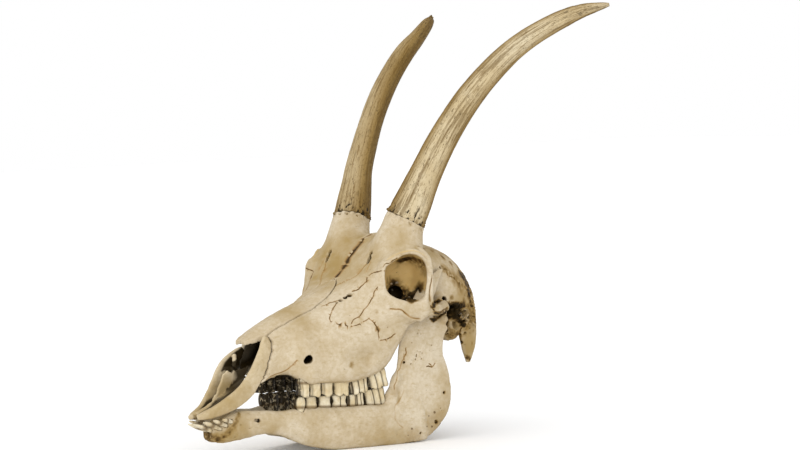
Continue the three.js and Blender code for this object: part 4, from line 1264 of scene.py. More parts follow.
def cranium_fields():
    """The block, the cranium in it, and the cranium before it is hollowed out."""
    block = Block(*HEAD_BOX, HEAD_VOXEL)
    face = block.of(section_rings(FACE))
    pedicle = [(*row[:3], row[3], row[4]) for row in PEDICLE]
    top = np.array(HORN[0][:3])
    pedicle.append((*(top + 6 * HORN_AXIS), HORN[0][3], HORN[0][4]))
    pedicle = block.of(limb_rings(pedicle, THROUGH, around=32))
    head = join(face, pedicle, 6)
    head = join(head, block.of(limb_rings(SOCKET_FRONT)), 4)
    socket = block.of(socket_rings())
    head = cut(head, socket, 2.2)
    dig(block, head, (55, -9.2, 100), (53, -8.2, 122), 4.4, 1.6)
    head = join(head, block.of(section_rings(BRAINCASE)), 6)
    for stops, deep, soft in (
        (CHEEK_ARCH, UP, 3), (BAR_BEHIND_EYE, ALONG, 2), (JAW_SEAT, UP, 3), (NECK_CREST, UP, 2.5),
        (NECK_PROCESS, ALONG, 1.5), (EAR_TUBE, UP, 1), (WING_PLATE, UP, 1.5),
    ):
        head = join(head, block.of(limb_rings(stops, deep)), soft)
    head = join(head, rim_field(block, SOCKET_EDGE, 1.1), 2)
    head = join(head, block.egg(*BULLA), 1.5)
    head = join(head, block.egg(*NECK_CONDYLE), 1.5)
    for start, end, radius, soft in RIDGES:
        raise_ridge(block, head, start, end, radius, soft)
    for start, end, radius in RECESSES:
        dig(block, head, start, end, radius, 3.0)
    for path, radius in GROOVES:
        for a, b in zip(path[:-1], path[1:]):
            lift = np.array([0.1, -0.4, 0.6]) * radius * 0.9
            dig(block, head, np.array(a) + lift, np.array(b) + lift, radius, 1.2)
    wall = np.abs(socket - 1.5) - SOCKET_WALL / 2
    x, y, z = (along_axis(values, k) for k, values in enumerate(block.axes()))
    ragged = 1.6 * np.sin(y * 0.9) * np.sin(x * 0.7 + 1)
    wall = np.maximum(wall, 107.5 + ragged - 0.35 * (y + 20) - z)
    wall = np.maximum(wall, plane(block, SOCKET_MIDDLE - 4 * np.array(SOCKET_FACES), SOCKET_FACES))
    head = join(head, wall, 1.2)
    outer = head.copy()
    head = cut(head, block.of(section_rings(NOSE_SPACE)), 0.6)
    head = cut(head, block.of(section_rings(THROAT_PASSAGE)), 0.6)
    head = cut(head, block.of(section_rings(BRAIN_SPACE)), 0.6)
    head = cut(head, block.of(limb_rings(NECK_HOLE)), 0.8)
    for start, end, radius in EAR_HOLLOW:
        dig(block, head, start, end, radius, 1.0)
    head = join(head, block.of(limb_rings(EAR_TUBE)), 0.6)
    head = cut(head, block.of(limb_rings(EAR_BORE)), 0.4)
    head = join(head, block.egg(*EAR_INNER_WALL), 1.0)
    raise_ridge(block, head, *NOSE_SILL, 2.4, 1.0)
    for start, end, radius in HOLES:
        dig(block, head, start, end, radius)
    dig_pores(block, head, PORES_DUG)
    ring = limb_rings([HORN[0], HORN[1]], THROUGH, around=14, per=1)[0] - 1.2 * HORN_AXIS
    scatter_pits(block, head, [(*place, 3.2) for place in ring], 110, (0.4, 0.95), 8)
    scatter_pits(block, head, ROUGH_PLACES, 200, (0.45, 1.1), 3)
    where, reach = nose_outline(SUTURE_GAP)
    bed = outline_field(block, strip_outline(-reach - 9, reach, where))
    bed_field = np.maximum(bed, -(outer + NOSE_THICK + 0.3))
    head = cut(head, bed_field)
    head = cut(head, -muzzle_cut(block))
    head = cut(head, -plane(block, top - SEAM * HORN_AXIS, HORN_AXIS))
    for socket in tooth_sockets(block, UPPER_ROW, 0):
        head = cut(head, socket - TOOTH_ROOM, 0.2)
    branch = block.of(branch_rings()) - JAW_ROOM
    head = cut(head, branch, 0.4)
    return block, head, outer


# ------------------------------------------------------------------ teeth

BITE = [(-112, 38.6), (-85, 37.6), (-65, 36.6), (-55, 38.2), (-36, 41)]
UPPER = [
    ("premolar_2", 7.5, 1), ("premolar_3", 9.5, 1), ("premolar_4", 9.5, 1),
    ("molar_1", 13, 2), ("molar_2", 14.5, 2), ("molar_3", 15.5, 2),
]
LOWER = [
    ("premolar_2", 7.5, 1), ("premolar_3", 9.5, 1), ("premolar_4", 10.5, 1),
    ("molar_1", 12.5, 2), ("molar_2", 13.5, 2), ("molar_3", 17, 3),
]
# Each row: its teeth, the y and x of the two ends of its middle line, half its width, how far its
# roots reach beyond the gum line, and the gum line as heights along y.
UPPER_ROW = dict(teeth=UPPER, start=(-107.8, 23.6), end=(-38.3, 30.8), half=5.4, root=5.2,
                 gum=[(-110, 47.8), (-64, 47.6), (-36, 54.4)])
LOWER_ROW = dict(teeth=LOWER, start=(-107.8, 18.4), end=(-37.3, 29.6), half=4.4, root=-5.2,
                 gum=[(-108, 31), (-38, 27)])
TOOTH_LEVELS = 15
TOOTH_AROUND = 60


def tooth_rings(row, number, side_seed):
    """Rings of one cheek tooth from root to bite, and for each point how deep it lies in a groove, its
    distance past the gum line, and how far it faces inwards."""
    name, length, lobes = row["teeth"][number]
    upper = row["root"] > 0
    rng = np.random.default_rng(100 + 10 * number + side_seed + (50 if upper else 0))
    start = row["start"][0] + sum(t[1] for t in row["teeth"][:number])
    middle = start + length / 2
    (y0, x0), (y1, x1) = row["start"], row["end"]
    lean = rng.uniform(-0.7, 0.7, 2)
    slant = 0.30 * ramp(middle, -72, -46)
    push = rng.uniform(-0.35, 0.35)
    turn = TAU * np.arange(TOOTH_AROUND) / TOOTH_AROUND
    c, s = np.cos(turn), np.sin(turn)
    reach = (np.abs(c) ** 3.4 + np.abs(s) ** 3.4) ** (-1 / 3.4)
    along, across = c * reach, s * reach
    u = (along + 1) / 2
    lobe = np.abs(np.sin(math.pi * lobes * u)) ** 0.7
    outer_face = across > 0
    style = sum(np.exp(-(((u - k / lobes) / 0.05) ** 2)) for k in range(lobes + 1))
    depth = np.where(outer_face == upper, 0.80 + 0.16 * lobe + 0.17 * style, 0.70 + 0.30 * lobe)
    groove_base = np.where(outer_face == upper, np.clip(1 - lobe - style, 0, 1), (1 - lobe) ** 2)
    if middle > -72:
        lamella = (0.5 + 0.5 * np.sin(u * TAU * lobes * 1.5 + number * 1.7)) ** 6
        depth = depth - 0.13 * lamella
        groove_base = np.maximum(groove_base, 0.9 * lamella)
    ripple = 0.03 * np.sin(u * 41 + number) + 0.02 * np.sin(u * 67 + 2 * number)
    share = np.linspace(0, 1, TOOTH_LEVELS)
    taper = rng.uniform(0.0, 0.16) * (1 - ramp(middle, -70, -52))
    waist = rng.uniform(0.74, 0.9) if middle < -72 else 0.93
    long_shares = [0.8, 0.98, 1.0, waist, 0.95 - taper * 0.5, 0.98 - taper]
    if not upper and number == 0:
        long_shares = [0.5, 0.78, 0.98, 1.08, 0.9, 0.5]
    rings, grooves, gums, inner = [], [], [], []
    half = length / 2 - 0.2
    for t in share:
        wide = np.interp(t, [0, 0.35, 0.5, 0.85, 1], [0.74, 0.9, 1.0, 1.0, 0.92])
        long = np.interp(t, [0, 0.3, 0.45, 0.7, 0.88, 1], long_shares)
        y = middle + along * half * long + lean[0] * (t - 0.4)
        y = y + slant * 11 * (t - 0.3 if upper else 0.7 - t)
        x = x0 + (y - y0) / (y1 - y0) * (x1 - x0)
        x = x + across * row["half"] * (depth + ripple) * wide + lean[1] * (t - 0.5) + push
        gum = np.interp(y, *zip(*row["gum"]))
        bite = np.interp(y, *zip(*BITE))
        cusp = lobe * 1.7 - 0.9 + 0.35 * np.sin(u * 9 + number * 2.1)
        tip = bite + (0.25 if upper else -0.25)
        tip = tip - np.sign(row["root"]) * cusp * np.where(outer_face == upper, 1.0, 0.2)
        tip = tip if upper else np.minimum(tip, bite + 0.5)
        root = gum + row["root"]
        z = root + (tip - root) * t
        rings.append(np.stack([x, y, z], -1))
        grooves.append(groove_base + 0 * z)
        gums.append((z - gum) * -np.sign(row["root"]))
        # painted shade on faces turned inwards and in the gaps between teeth
        between = 0.9 * (1 - ramp(np.abs(across), 0.25, 0.8)) * (np.abs(along) > 0.6)
        inner.append(np.clip(-across * 1.4, 0, 1) + between + 0 * z)
    for sunk, pull in ((0.35, 0.72), (1.1, 0.4)):
        last = rings[TOOTH_LEVELS - 1]
        ring = last + (last.mean(0) - last) * (1 - pull)
        ring[:, 2] += np.sign(row["root"]) * sunk
        rings.append(ring)
        grooves.append(0.5 + 0.4 * groove_base)
        gums.append(gums[TOOTH_LEVELS - 1])
        inner.append(inner[TOOTH_LEVELS - 1])
    return np.array(rings), np.array(grooves), np.array(gums), np.array(inner)


def closed(rings):
    """Points and triangles of the skin over rings, facing outwards."""
    points, quads, triangles = skin(rings)
    triangles = all_triangles(triangles, quads)
    if signed_volume(points, quads, triangles[: 2 * rings.shape[1]]) < 0:
        triangles = triangles[:, ::-1]
    return points, triangles


def with_ends(values):
    """Values of the rings' points, followed by the means of the first and last rings."""
    if values.ndim == 3:
        return np.concatenate([values.reshape(-1, 3), [values[0].mean(0), values[-1].mean(0)]])
    return np.concatenate([values.ravel(), [values[0].mean(), values[-1].mean()]])


def cheek_teeth(side, word, row, material):
    """Builds one row of cheek teeth, each a piece of its own."""
    for number, (name, _, _) in enumerate(row["teeth"]):
        rings, grooves, gums, inner = tooth_rings(row, number, side)
        points, triangles = closed(rings)
        groove, gum = with_ends(grooves), with_ends(gums)
        normals = vertex_normals(points, triangles)
        shift = 0.10 * rough(points, (1.6, 1.6, 6.0), 30 + number, 2) - 0.12 * groove
        points = points + normals * shift[:, None]
        marks = {"groove": groove, "gum": gum, "inner": with_ends(inner)}
        show(f"{SIDE_NAME[side]}_{word}_{name}", points, triangles, material, marks, side=side)


# each tooth's root and tip: (x, y, z, half width)
FRONT_TEETH = [
    ("incisor_1", (2.9, -163, 18.6, 1.5), (3.3, -179.6, 25, 2.9)),
    ("incisor_2", (5.6, -161, 20.6, 1.4), (8.4, -175.4, 26.4, 2.3)),
    ("incisor_3", (7.6, -158, 23, 1.3), (11.4, -169.6, 27.2, 1.8)),
    ("canine", (9.2, -154.5, 25.2, 1.1), (13.4, -163.4, 27.4, 1.4)),
]
# how a front tooth swells and thins: (share of its length, times the nearer end's half width, half thickness)
FRONT_TOOTH_SHAPE = [
    (-0.18, 0.8, 1.2), (0.2, 0.95, 1.45), (0.42, 1.05, 1.5), (0.62, 0.95, 1.45), (0.85, 1.02, 1.0),
    (0.97, 0.9, 0.55), (1.0, 0.7, 0.3),
]


def front_tooth_stops(root, tip, gap=0.0):
    """Stops along a front tooth, widened by a gap."""
    root, tip = np.array(root), np.array(tip)
    stops = []
    for share, swell, thick in FRONT_TOOTH_SHAPE:
        wide = (root if share < 0.5 else tip)[3] * swell
        stops.append((*(root[:3] + (tip[:3] - root[:3]) * share), wide + gap, thick + gap))
    return stops


def front_teeth(side, material):
    """Builds the four front teeth of one side."""
    for number, (name, root, tip) in enumerate(FRONT_TEETH):
        rings = limb_rings(front_tooth_stops(root, tip), around=24, per=5, power=2.4)
        points, triangles = closed(rings)
        share = np.linspace(0, 1, len(rings))[:, None] + 0 * rings[..., 0]
        wear = np.stack([rough(points, 2.0, 60 + number + k + side, 2) for k in range(3)], -1)
        points = points + 0.12 * wear
        marks = {
            "groove": with_ends(0.4 * np.abs(np.sin(share * 9))), "gum": with_ends((share - 0.45) * 10),
            "inner": with_ends(0 * share),
        }
        show(f"{SIDE_NAME[side]}_{name}", points, triangles, material, marks, side=side)


# ------------------------------------------------------------------ lower jaw

RIGHT_ARCH = dict(start=-126, end=-62, lift=5)
BRANCH_SLANT = 0.15
JAW_ROOM = 1.2
CONDYLE = ((39.5, 7.4, 83.2), (6.6, 4.2, 3.8))
JAW_HOLES = [
    ((15.8, -135.6, 24.2), (6, -132, 24.2), 1.5),
    ((15.0, -137.4, 24.6), (7, -134, 24.6), 1.1),
]
JAW_PORES = {
    TEMPLE_VIEW: [
        (256, 1018, 9), (264, 960, 5), (266, 925, 4), (362, 925, 5), (356, 975, 6), (388, 935, 5),
        (396, 990, 6), (478, 880, 6), (378, 762, 5), (392, 790, 4), (368, 785, 4), (320, 862, 4),
    ],
    BRANCH_VIEW: [
        (700, 75, 6), (778, 30, 5), (772, 58, 5), (748, 60, 4), (745, 85, 5), (812, 20, 5), (818, 50, 4),
        (945, 262, 7), (900, 440, 9), (803, 510, 7), (927, 357, 5), (932, 372, 4), (352, 374, 4),
    ],
    JAW_VIEW: [
        (515, 710, 6), (520, 830, 4), (450, 800, 5), (400, 900, 5), (360, 880, 5), (330, 900, 6),
        (285, 940, 6), (420, 870, 4),
    ],
}
JAW_CRACKS = [
    # chip in the branch
    Line([(838, 102), (855, 98), (872, 104), (890, 82)], 0.3, 0.4, 0.4, 0.9, BRANCH_VIEW),
    Line([(856, 86), (868, 92), (872, 104)], 0.3, 0.4, 0.4, 0.9, BRANCH_VIEW),
    # front edge of the branch
    Line([(700, 20), (690, 60), (672, 120), (655, 180), (640, 240)], 0.8, 0.45, 0.3, 0.5, BRANCH_VIEW),
    Line([(268, 900), (262, 960), (256, 1020)], 1.0, 0.5, 0.4, 0.7, TEMPLE_VIEW),
    # edge of the chewing muscle's field
    Line([(700, 250), (665, 310), (645, 370), (655, 430), (690, 480)], 1.0, 0.6, 0.2, 0.25, BRANCH_VIEW),
]
JAW_STAINS = {
    BRANCH_VIEW: [
        (900, 445, 16, 0.8), (945, 262, 14, 0.7),
    ],
}
JAW_ROUGH = [(41, -4, 12, 14), (40, -22, 4, 10), (42, 8, 84, 7), (37, -34, 36, 6)]
# the slope that climbs from behind the last tooth to the branch: (start, end, radius)
BEHIND_TEETH = [((33.5, -37, 24), (34.5, -35.4, 33), 4.2), ((34.5, -35.4, 33), (37.5, -32.4, 45), 3.2)]


def branch_rings():
    """Rings up the branch of the lower jaw, from its body to the jaw joint."""
    rows = np.array(JAW_BRANCH, float)
    where = np.linspace(rows[0, 0], rows[-1, 0], 60)
    table = through(rows[:, 0], rows, where)
    turn = TAU * np.arange(32) / 32
    c, s = np.cos(turn), np.sin(turn)
    reach = (np.abs(c) ** 2.4 + np.abs(s) ** 2.4) ** (-1 / 2.4)
    z, front, rear, x, half = (table[:, k, None] for k in range(5))
    y = (front + rear) / 2 + (rear - front) / 2 * reach * s
    shift = x + half * reach * c + BRANCH_SLANT * (rear - front) / 2 * reach * s
    return np.stack([shift, y, z + 0 * y], -1)


def jaw_fields(side):
    """The block, one half of the lower jaw in it, and that half before it is bored."""
    block = Block(*JAW_BOX, JAW_VOXEL)
    stops = []
    for x, y, z, thick, high in JAW_BODY:
        arched = side == RIGHT and RIGHT_ARCH["start"] < y < RIGHT_ARCH["end"]
        sink = RIGHT_ARCH["lift"] / 2 if arched else 0
        stops.append((x, y, z + sink, thick, high - sink))
    jaw = block.of(limb_rings(stops, around=32, power=2.5))
    jaw = join(jaw, block.of(branch_rings()), 3)
    jaw = join(jaw, block.egg(*CONDYLE), 2)
    for start, end, radius in BEHIND_TEETH:
        raise_ridge(block, jaw, start, end, radius, 3.0)
    outer = jaw.copy()
    for start, end, radius in JAW_HOLES:
        dig(block, jaw, start, end, radius)
    dig_pores(block, jaw, JAW_PORES)
    for number in range(len(LOWER)):
        rings = tooth_rings(LOWER_ROW, number, side)[0]
        jaw = cut(jaw, block.of(rings) - TOOTH_ROOM, 0.2)
    for _, root, tip in FRONT_TEETH:
        jaw = cut(jaw, block.of(limb_rings(front_tooth_stops(root, tip, 0.3))), 0.2)
    jaw = np.maximum(jaw, SEAM - block.axes()[0][:, None, None])
    return block, jaw, outer


# ------------------------------------------------------------------ nose and muzzle bones


def nasal_fields(outer_block, outer):
    """The block, the left nasal bone in it, and the outer form of the skull."""
    block = Block(*NASAL_BOX, NOSE_VOXEL)
    points = block.points()
    hull = outer_block.sample(outer, points.reshape(-1, 3)).reshape(block.dims).astype(np.float32)
    where, reach = nose_outline(-SUTURE_GAP)
    outline = strip_outline(where * 0 + SEAM, reach, where)
    plate = np.maximum(hull, -(hull + NOSE_THICK))
    plate = np.maximum(plate, outline_field(block, outline))
    return block, plate, hull


# a thin upright plate of the nose floor and the curled front end of a nose scroll, both kept on the
# right muzzle bone: outline as y and z, its pale part, and ridges (start, end, radius)
SEPTUM = [
    (-162, 36), (-157, 42), (-153, 48), (-150.5, 55), (-146.5, 58), (-143.5, 56), (-141, 57.6), (-136, 58),
    (-128, 60), (-126, 50), (-134, 47), (-138, 45.5), (-147, 39), (-156, 35),
]
PALE_PLATE = [
    (-162, 37.5), (-157, 42), (-153, 48), (-150.5, 55), (-146.5, 58), (-143.5, 56), (-141, 57.6),
    (-139.5, 55.5), (-141.5, 51), (-147.5, 46.5), (-152, 42.5), (-158, 39.5),
]
SCROLL = [
    ((13, -134, 66), (8, -136.4, 67), 1.4),
    ((8, -136.4, 67), (5.6, -138, 64.6), 1.5),
    ((5.6, -138, 64.6), (7, -137.6, 61.2), 1.4),
    ((7, -137.6, 61.2), (9.4, -136.4, 61.6), 1.2),
    ((9.4, -136.4, 61.6), (8.6, -136.6, 64), 0.9),
    ((12.5, -135, 58), (7, -138, 57), 1.1),
]


def muzzle_fields(side):
    """The block, one muzzle bone in it, and that bone before its joints are cut."""
    block = Block(*MUZZLE_BOX, NOSE_VOXEL)
    stops = MUZZLE_BAR if side == LEFT else FAR_MUZZLE_BAR
    bar = block.of(limb_rings(stops, (0, -0.5, 0.86), around=32, power=2.8))
    rod = block.of(limb_rings(PALATE_ROD, around=16))
    outer = join(bar, rod, 1.0)
    x = block.axes()[0][:, None, None]
    if side == RIGHT:
        ragged = outline_field(block, SEPTUM, (1, 2)) + 0.8 * block.noise(1.6, 5)
        outer = join(outer, np.maximum(ragged, np.abs(x - 3.6) - 0.8), 0.6)
        for start, end, radius in SCROLL:
            raise_ridge(block, outer, start, end, radius, 0.8)
    bone = np.maximum(outer, -muzzle_cut(block) + 2 * SUTURE_GAP)
    bone = np.maximum(bone, SEAM - x)
    return block, bone, outer


# ------------------------------------------------------------------ horn cores


# the direction of the painted light on each horn core
HORN_LIT_FROM = {LEFT: (0.8, -0.6, 0.1), RIGHT: (0.1, -0.98, 0.1)}


def crumb_tree():
    """Small rounded crumbs of bone, strewn over a surface where its mark "crumb" asks for them."""
    tree = bpy.data.node_groups.new("bone crumbs", "GeometryNodeTree")
    tree.interface.new_socket("Geometry", in_out="INPUT", socket_type="NodeSocketGeometry")
    for name, kind in (("Density", "Float"), ("Size", "Float"), ("Seed", "Int"), ("Finish", "Material")):
        tree.interface.new_socket(name, in_out="INPUT", socket_type="NodeSocket" + kind)
    tree.interface.new_socket("Geometry", in_out="OUTPUT", socket_type="NodeSocketGeometry")
    given, out = tree.nodes.new("NodeGroupInput").outputs, tree.nodes.new("NodeGroupOutput")

    def drawn(low, high):
        """A random vector for each crumb."""
        values = {0: low, 1: high, 8: given["Seed"]}
        return add(tree, "FunctionNodeRandomValue", values, data_type="FLOAT_VECTOR").outputs[0]

    wanted = add(tree, "GeometryNodeInputNamedAttribute", {"Name": "crumb"}, data_type="FLOAT").outputs[0]
    density = times(tree, wanted, given["Density"])
    strewing = {"Mesh": given["Geometry"], "Density": density, "Seed": given["Seed"]}
    strewn = add(tree, "GeometryNodeDistributePointsOnFaces", strewing, distribute_method="RANDOM")
    crumb = add(tree, "GeometryNodeMeshIcoSphere", {"Radius": given["Size"], "Subdivisions": 1})
    turned = add(tree, "FunctionNodeEulerToRotation", {0: drawn((0, 0, 0), (TAU, TAU, TAU))})
    placing = {
        "Points": strewn.outputs[0], "Instance": crumb.outputs[0], "Rotation": turned.outputs[0],
        "Scale": drawn((0.4, 0.4, 0.3), (1.4, 1.2, 1.0)),
    }
    placed = add(tree, "GeometryNodeInstanceOnPoints", placing)
    joined = tree.nodes.new("GeometryNodeJoinGeometry")
    tree.links.new(given["Geometry"], joined.inputs[0])
    tree.links.new(placed.outputs[0], joined.inputs[0])
    real = add(tree, "GeometryNodeRealizeInstances", {0: joined.outputs[0]})
    coating = {"Geometry": real.outputs[0], "Material": given["Finish"]}
    finished = add(tree, "GeometryNodeSetMaterial", coating)
    tree.links.new(finished.outputs[0], out.inputs[0])
    return tree


def horn_core(side, material):
    """A fluted, pored core on its ragged seam; the right one ends in a jagged break."""
    whole = side == LEFT
    stops = [list(row) for row in (HORN if whole else HORN[: BREAK_STOP + 1] + BREAK_END)]
    for k in range(3):
        stops[0][k] += SEAM * HORN_AXIS[k]
    if not whole:  # the end is worn thin along its front
        for row, share in zip(stops[-4:-2], (0.88, 0.74)):
            row[1] += 6 * (1 - share)
            row[3], row[4] = row[3] * share, row[4] * share
    around = 96
    rings = limb_rings(stops, THROUGH, around=around, per=24)
    n = len(rings)
    middle = rings.mean(1)
    length = np.concatenate([[0], np.cumsum(np.linalg.norm(np.diff(middle, axis=0), axis=1))])
    radius = np.linalg.norm(rings - middle[:, None], axis=2).mean(1)
    turn = TAU * np.arange(around) / around
    v = np.broadcast_to(length[:, None], (n, around))
    bearing = np.stack([np.cos(turn), np.sin(turn)], -1)
    base_radius = 13.0
    end = length[-1]
    # cells: places on the core as if it were straight and as wide as at its base, for the grain
    cells = np.concatenate([np.broadcast_to(bearing * base_radius, (n, around, 2)), v[..., None]], -1)
    fibres = rough(cells, (1.5, 1.5, 26.0), 11, 3)
    broad = rough(cells, (5.5, 5.5, 70.0), 17, 2)
    pits = np.clip(noise(cells, (1.0, 1.0, 4.5), 23) - 0.35, 0, 1) / 0.65
    at_seam = 1 - ramp(v, 0.5, 15.0)
    at_tip = ramp(v, end - 55, end - 5)
    depth = 0.18 * fibres + 0.32 * broad - pits * (0.28 + 0.55 * at_seam + 0.35 * at_tip)
    holes = np.clip(noise(cells, (1.7, 1.7, 2.0), 29) - 0.12, 0, 1) / 0.7 * (1 - ramp(v, 2.0, 8.0))
    depth = depth - 1.5 * holes
    outward = rings - middle[:, None]
    outward /= np.linalg.norm(outward, axis=2, keepdims=True)
    fade = ramp(radius, 0.5, 4)[:, None]
    rings = rings + outward * (depth * fade)[..., None]
    ragged = 0.8 * rough(np.concatenate([bearing * 4, np.zeros((around, 1))], -1), 1.1, 31, 3)
    rings = rings + HORN_AXIS * np.maximum(ragged, -0.15)[None, :, None] * (1 - ramp(v, 0, 4.0))[..., None]
    if not whole:
        jag = 1.6 * rough(np.concatenate([bearing * 3, np.zeros((around, 1))], -1), 1.3, 37, 3)
        near = ramp(v, end - 9, end - 1)
        along = (middle[-1] - middle[-6]) / np.linalg.norm(middle[-1] - middle[-6])
        rings = rings + along * (jag[None, :] * near)[..., None]
    groove = np.clip(0.5 - 0.5 * fibres, 0, 1)
    points, triangles = closed(rings)
    # painted light on the side turned to that direction, painted shade on the side turned from it; the broken
    # core is also darkened along its break
    faces = np.array(HORN_LIT_FROM[side]) * (side, 1, 1)
    turned = outward @ (faces / np.linalg.norm(faces))
    lit_side = ramp(turned, 0.25, 0.95) * (1 if whole else 0.5)
    shade_and_break = (1 - ramp(turned, -0.1, 0.45)) * (0.55 if whole else 0.85)
    crumb = (1 - ramp(v, 1.0, 3.5)) * np.clip(0.5 + noise(cells, 3.0, 41), 0, 1)
    if not whole:
        patchy = np.clip(0.9 + noise(cells, (3.0, 3.0, 8.0), 43), 0, 1)
        shade_and_break = np.maximum(shade_and_break, ramp(v, end - 12, end - 1) * patchy)
        crumb = crumb + 0.7 * ramp(v, end - 7, end - 1)
    marks = {
        "groove": with_ends(groove), "pores": with_ends(np.maximum(pits, holes)), "seam": with_ends(at_seam),
        "tip": with_ends(at_tip), "lit_side": with_ends(lit_side),
        "shade_and_break": with_ends(shade_and_break + 0 * v), "grain": with_ends(cells), "crumb": with_ends(crumb + 0 * v),
    }
    name = SIDE_NAME[side] + "_horn_core"
    crumbs = (CRUMBS, {"Density": 0.8e6, "Size": 0.85 * MM, "Seed": 4 + side, "Finish": material})
    show(name, points, triangles, material, marks, side=side, grown=[crumbs])


# ------------------------------------------------------------------ shader building blocks


def linear(red, green, blue):
    """A colour given as 0 to 255 on a screen, as the shader wants it."""
    values = [channel / 255 for channel in (red, green, blue)]
    return tuple(v / 12.92 if v <= 0.04045 else ((v + 0.055) / 1.055) ** 2.4 for v in values) + (1.0,)


def add(tree, kind, inputs=None, **settings):
    """A new node, with its settings and its inputs given as values or as sockets to link."""
    made = tree.nodes.new(kind)
    for setting, value in settings.items():
        setattr(made, setting, value)
    for key, value in (inputs or {}).items():
        if isinstance(value, bpy.types.NodeSocket):
            tree.links.new(value, made.inputs[key])
        else:
            made.inputs[key].default_value = value
    return made


def mixed(tree, share, a, b):
    """Colour a passing to colour b by share."""
    return add(tree, "ShaderNodeMix", {0: share, 6: a, 7: b}, data_type="RGBA").outputs[2]


def sums(tree, operation, a, b=0.0, c=0.0):
    """Two or three values put together by an operation."""
    return add(tree, "ShaderNodeMath", {0: a, 1: b, 2: c}, operation=operation).outputs[0]


def times(tree, a, b):
    return sums(tree, "MULTIPLY", a, b)


def eased(tree, value, low, high, to_low=0.0, to_high=1.0):
    """Maps value from low..high to to_low..to_high, held at the ends."""
    inputs = {0: value, 1: low, 2: high, 3: to_low, 4: to_high}
    return add(tree, "ShaderNodeMapRange", inputs, interpolation_type="SMOOTHSTEP", clamp=True).outputs[0]


def scaled(tree, place, times_axes):
    return add(tree, "ShaderNodeVectorMath", {0: place, 1: times_axes}, operation="MULTIPLY").outputs[0]


def mark(tree, name):
    """What the mesh holds under a name at its points."""
    return add(tree, "ShaderNodeAttribute", attribute_name=name).outputs["Fac"]


def new_group(name, vectors, floats, outputs):
    """A shader node group with named inputs, and outputs that are all floats."""
    tree = bpy.data.node_groups.new(name, "ShaderNodeTree")
    for socket in vectors:
        tree.interface.new_socket(socket, in_out="INPUT", socket_type="NodeSocketVector")
    for socket in floats:
        tree.interface.new_socket(socket, in_out="INPUT", socket_type="NodeSocketFloat")
    for socket in outputs:
        tree.interface.new_socket(socket, in_out="OUTPUT", socket_type="NodeSocketFloat")
    return tree, tree.nodes.new("NodeGroupInput").outputs, tree.nodes.new("NodeGroupOutput").inputs


def mottle_group():
    """Cloudy patches in three sizes, as bone and enamel yellow unevenly."""
    tree, given, out = new_group("mottling", ["Place"], ["Size"], ["Broad", "Middle", "Fine"])
    scale = sums(tree, "DIVIDE", 1.0, given["Size"])
    for name, finer in (("Broad", 1.0), ("Middle", 4.3), ("Fine", 21.0)):
        values = {
            "Vector": given["Place"], "Scale": times(tree, scale, finer), "Detail": 3.0, "Roughness": 0.55,
            "Distortion": 0.4,
        }
        cloud = add(tree, "ShaderNodeTexNoise", values)
        tree.links.new(eased(tree, cloud.outputs["Fac"], 0.33, 0.67), out[name])
    return tree


def pore_group():
    """Pinpoint openings of small blood vessels: a mask and a height."""
    tree, given, out = new_group("bone pores", ["Place"], ["Spacing", "Amount"], ["Mask", "Height"])
    scale = sums(tree, "DIVIDE", 1.0, given["Spacing"])
    cells = add(tree, "ShaderNodeTexVoronoi", {"Vector": given["Place"], "Scale": scale, "Randomness": 1.0})
    chance = add(tree, "ShaderNodeTexNoise", {"Vector": given["Place"], "Scale": times(tree, scale, 0.45)})
    need = eased(tree, chance.outputs["Fac"], 0.35, 0.7)
    reach = times(tree, times(tree, need, given["Amount"]), 0.36)
    inside = sums(tree, "SUBTRACT", reach, cells.outputs["Distance"])
    mask = eased(tree, inside, 0.0, 0.12)
    tree.links.new(mask, out["Mask"])
    tree.links.new(times(tree, mask, -1.0), out["Height"])
    return tree


def grain_group():
    """The faint fibre of bone surfaces: a height and a mask, stretched along one direction."""
    tree, given, out = new_group("bone fibre", ["Place", "Stretch"], ["Size"], ["Height", "Streak"])
    stretched = scaled(tree, given["Place"], given["Stretch"])
    scale = sums(tree, "DIVIDE", 1.0, given["Size"])
    values = {"Vector": stretched, "Scale": scale, "Detail": 4.0, "Roughness": 0.6}
    fibre = add(tree, "ShaderNodeTexNoise", values)
    tree.links.new(fibre.outputs["Fac"], out["Height"])
    tree.links.new(eased(tree, fibre.outputs["Fac"], 0.52, 0.72), out["Streak"])
    return tree


CRUMBS = crumb_tree()
MOTTLE = mottle_group()
PORES = pore_group()
GRAIN = grain_group()


def use(tree, group, inputs):
    """The outputs of a node group placed in a material."""
    return add(tree, "ShaderNodeGroup", inputs, node_tree=group).outputs


def new_material(name):
    """A material, its tree, its shader and the place of a point on the piece."""
    material = bpy.data.materials.new(name)
    material.use_nodes = True
    tree = material.node_tree
    shader = tree.nodes["Principled BSDF"]
    place = add(tree, "ShaderNodeTexCoord").outputs["Object"]
    return material, tree, shader, place


def bumped(tree, shader, height, strength, distance):
    """Gives a dry matt shader its relief."""
    shader.inputs["Specular IOR Level"].default_value = 0.12
    bump = add(tree, "ShaderNodeBump", {"Height": height, "Strength": strength, "Distance": distance})
    tree.links.new(bump.outputs[0], shader.inputs["Normal"])


# ------------------------------------------------------------------ finishes

PALE = linear(203, 191, 169)
WARM = linear(191, 175, 147)
TAN = linear(154, 130, 82)
OCHRE = linear(140, 113, 62)
BROWN = linear(78, 55, 22)
DARK = linear(38, 28, 8)
# colour of the painted light on the eye socket walls
SOCKET_LIGHT = linear(222, 190, 120)
SUTURE_EDGE = linear(150, 112, 52)
SUTURE_DIRT = linear(56, 38, 10)


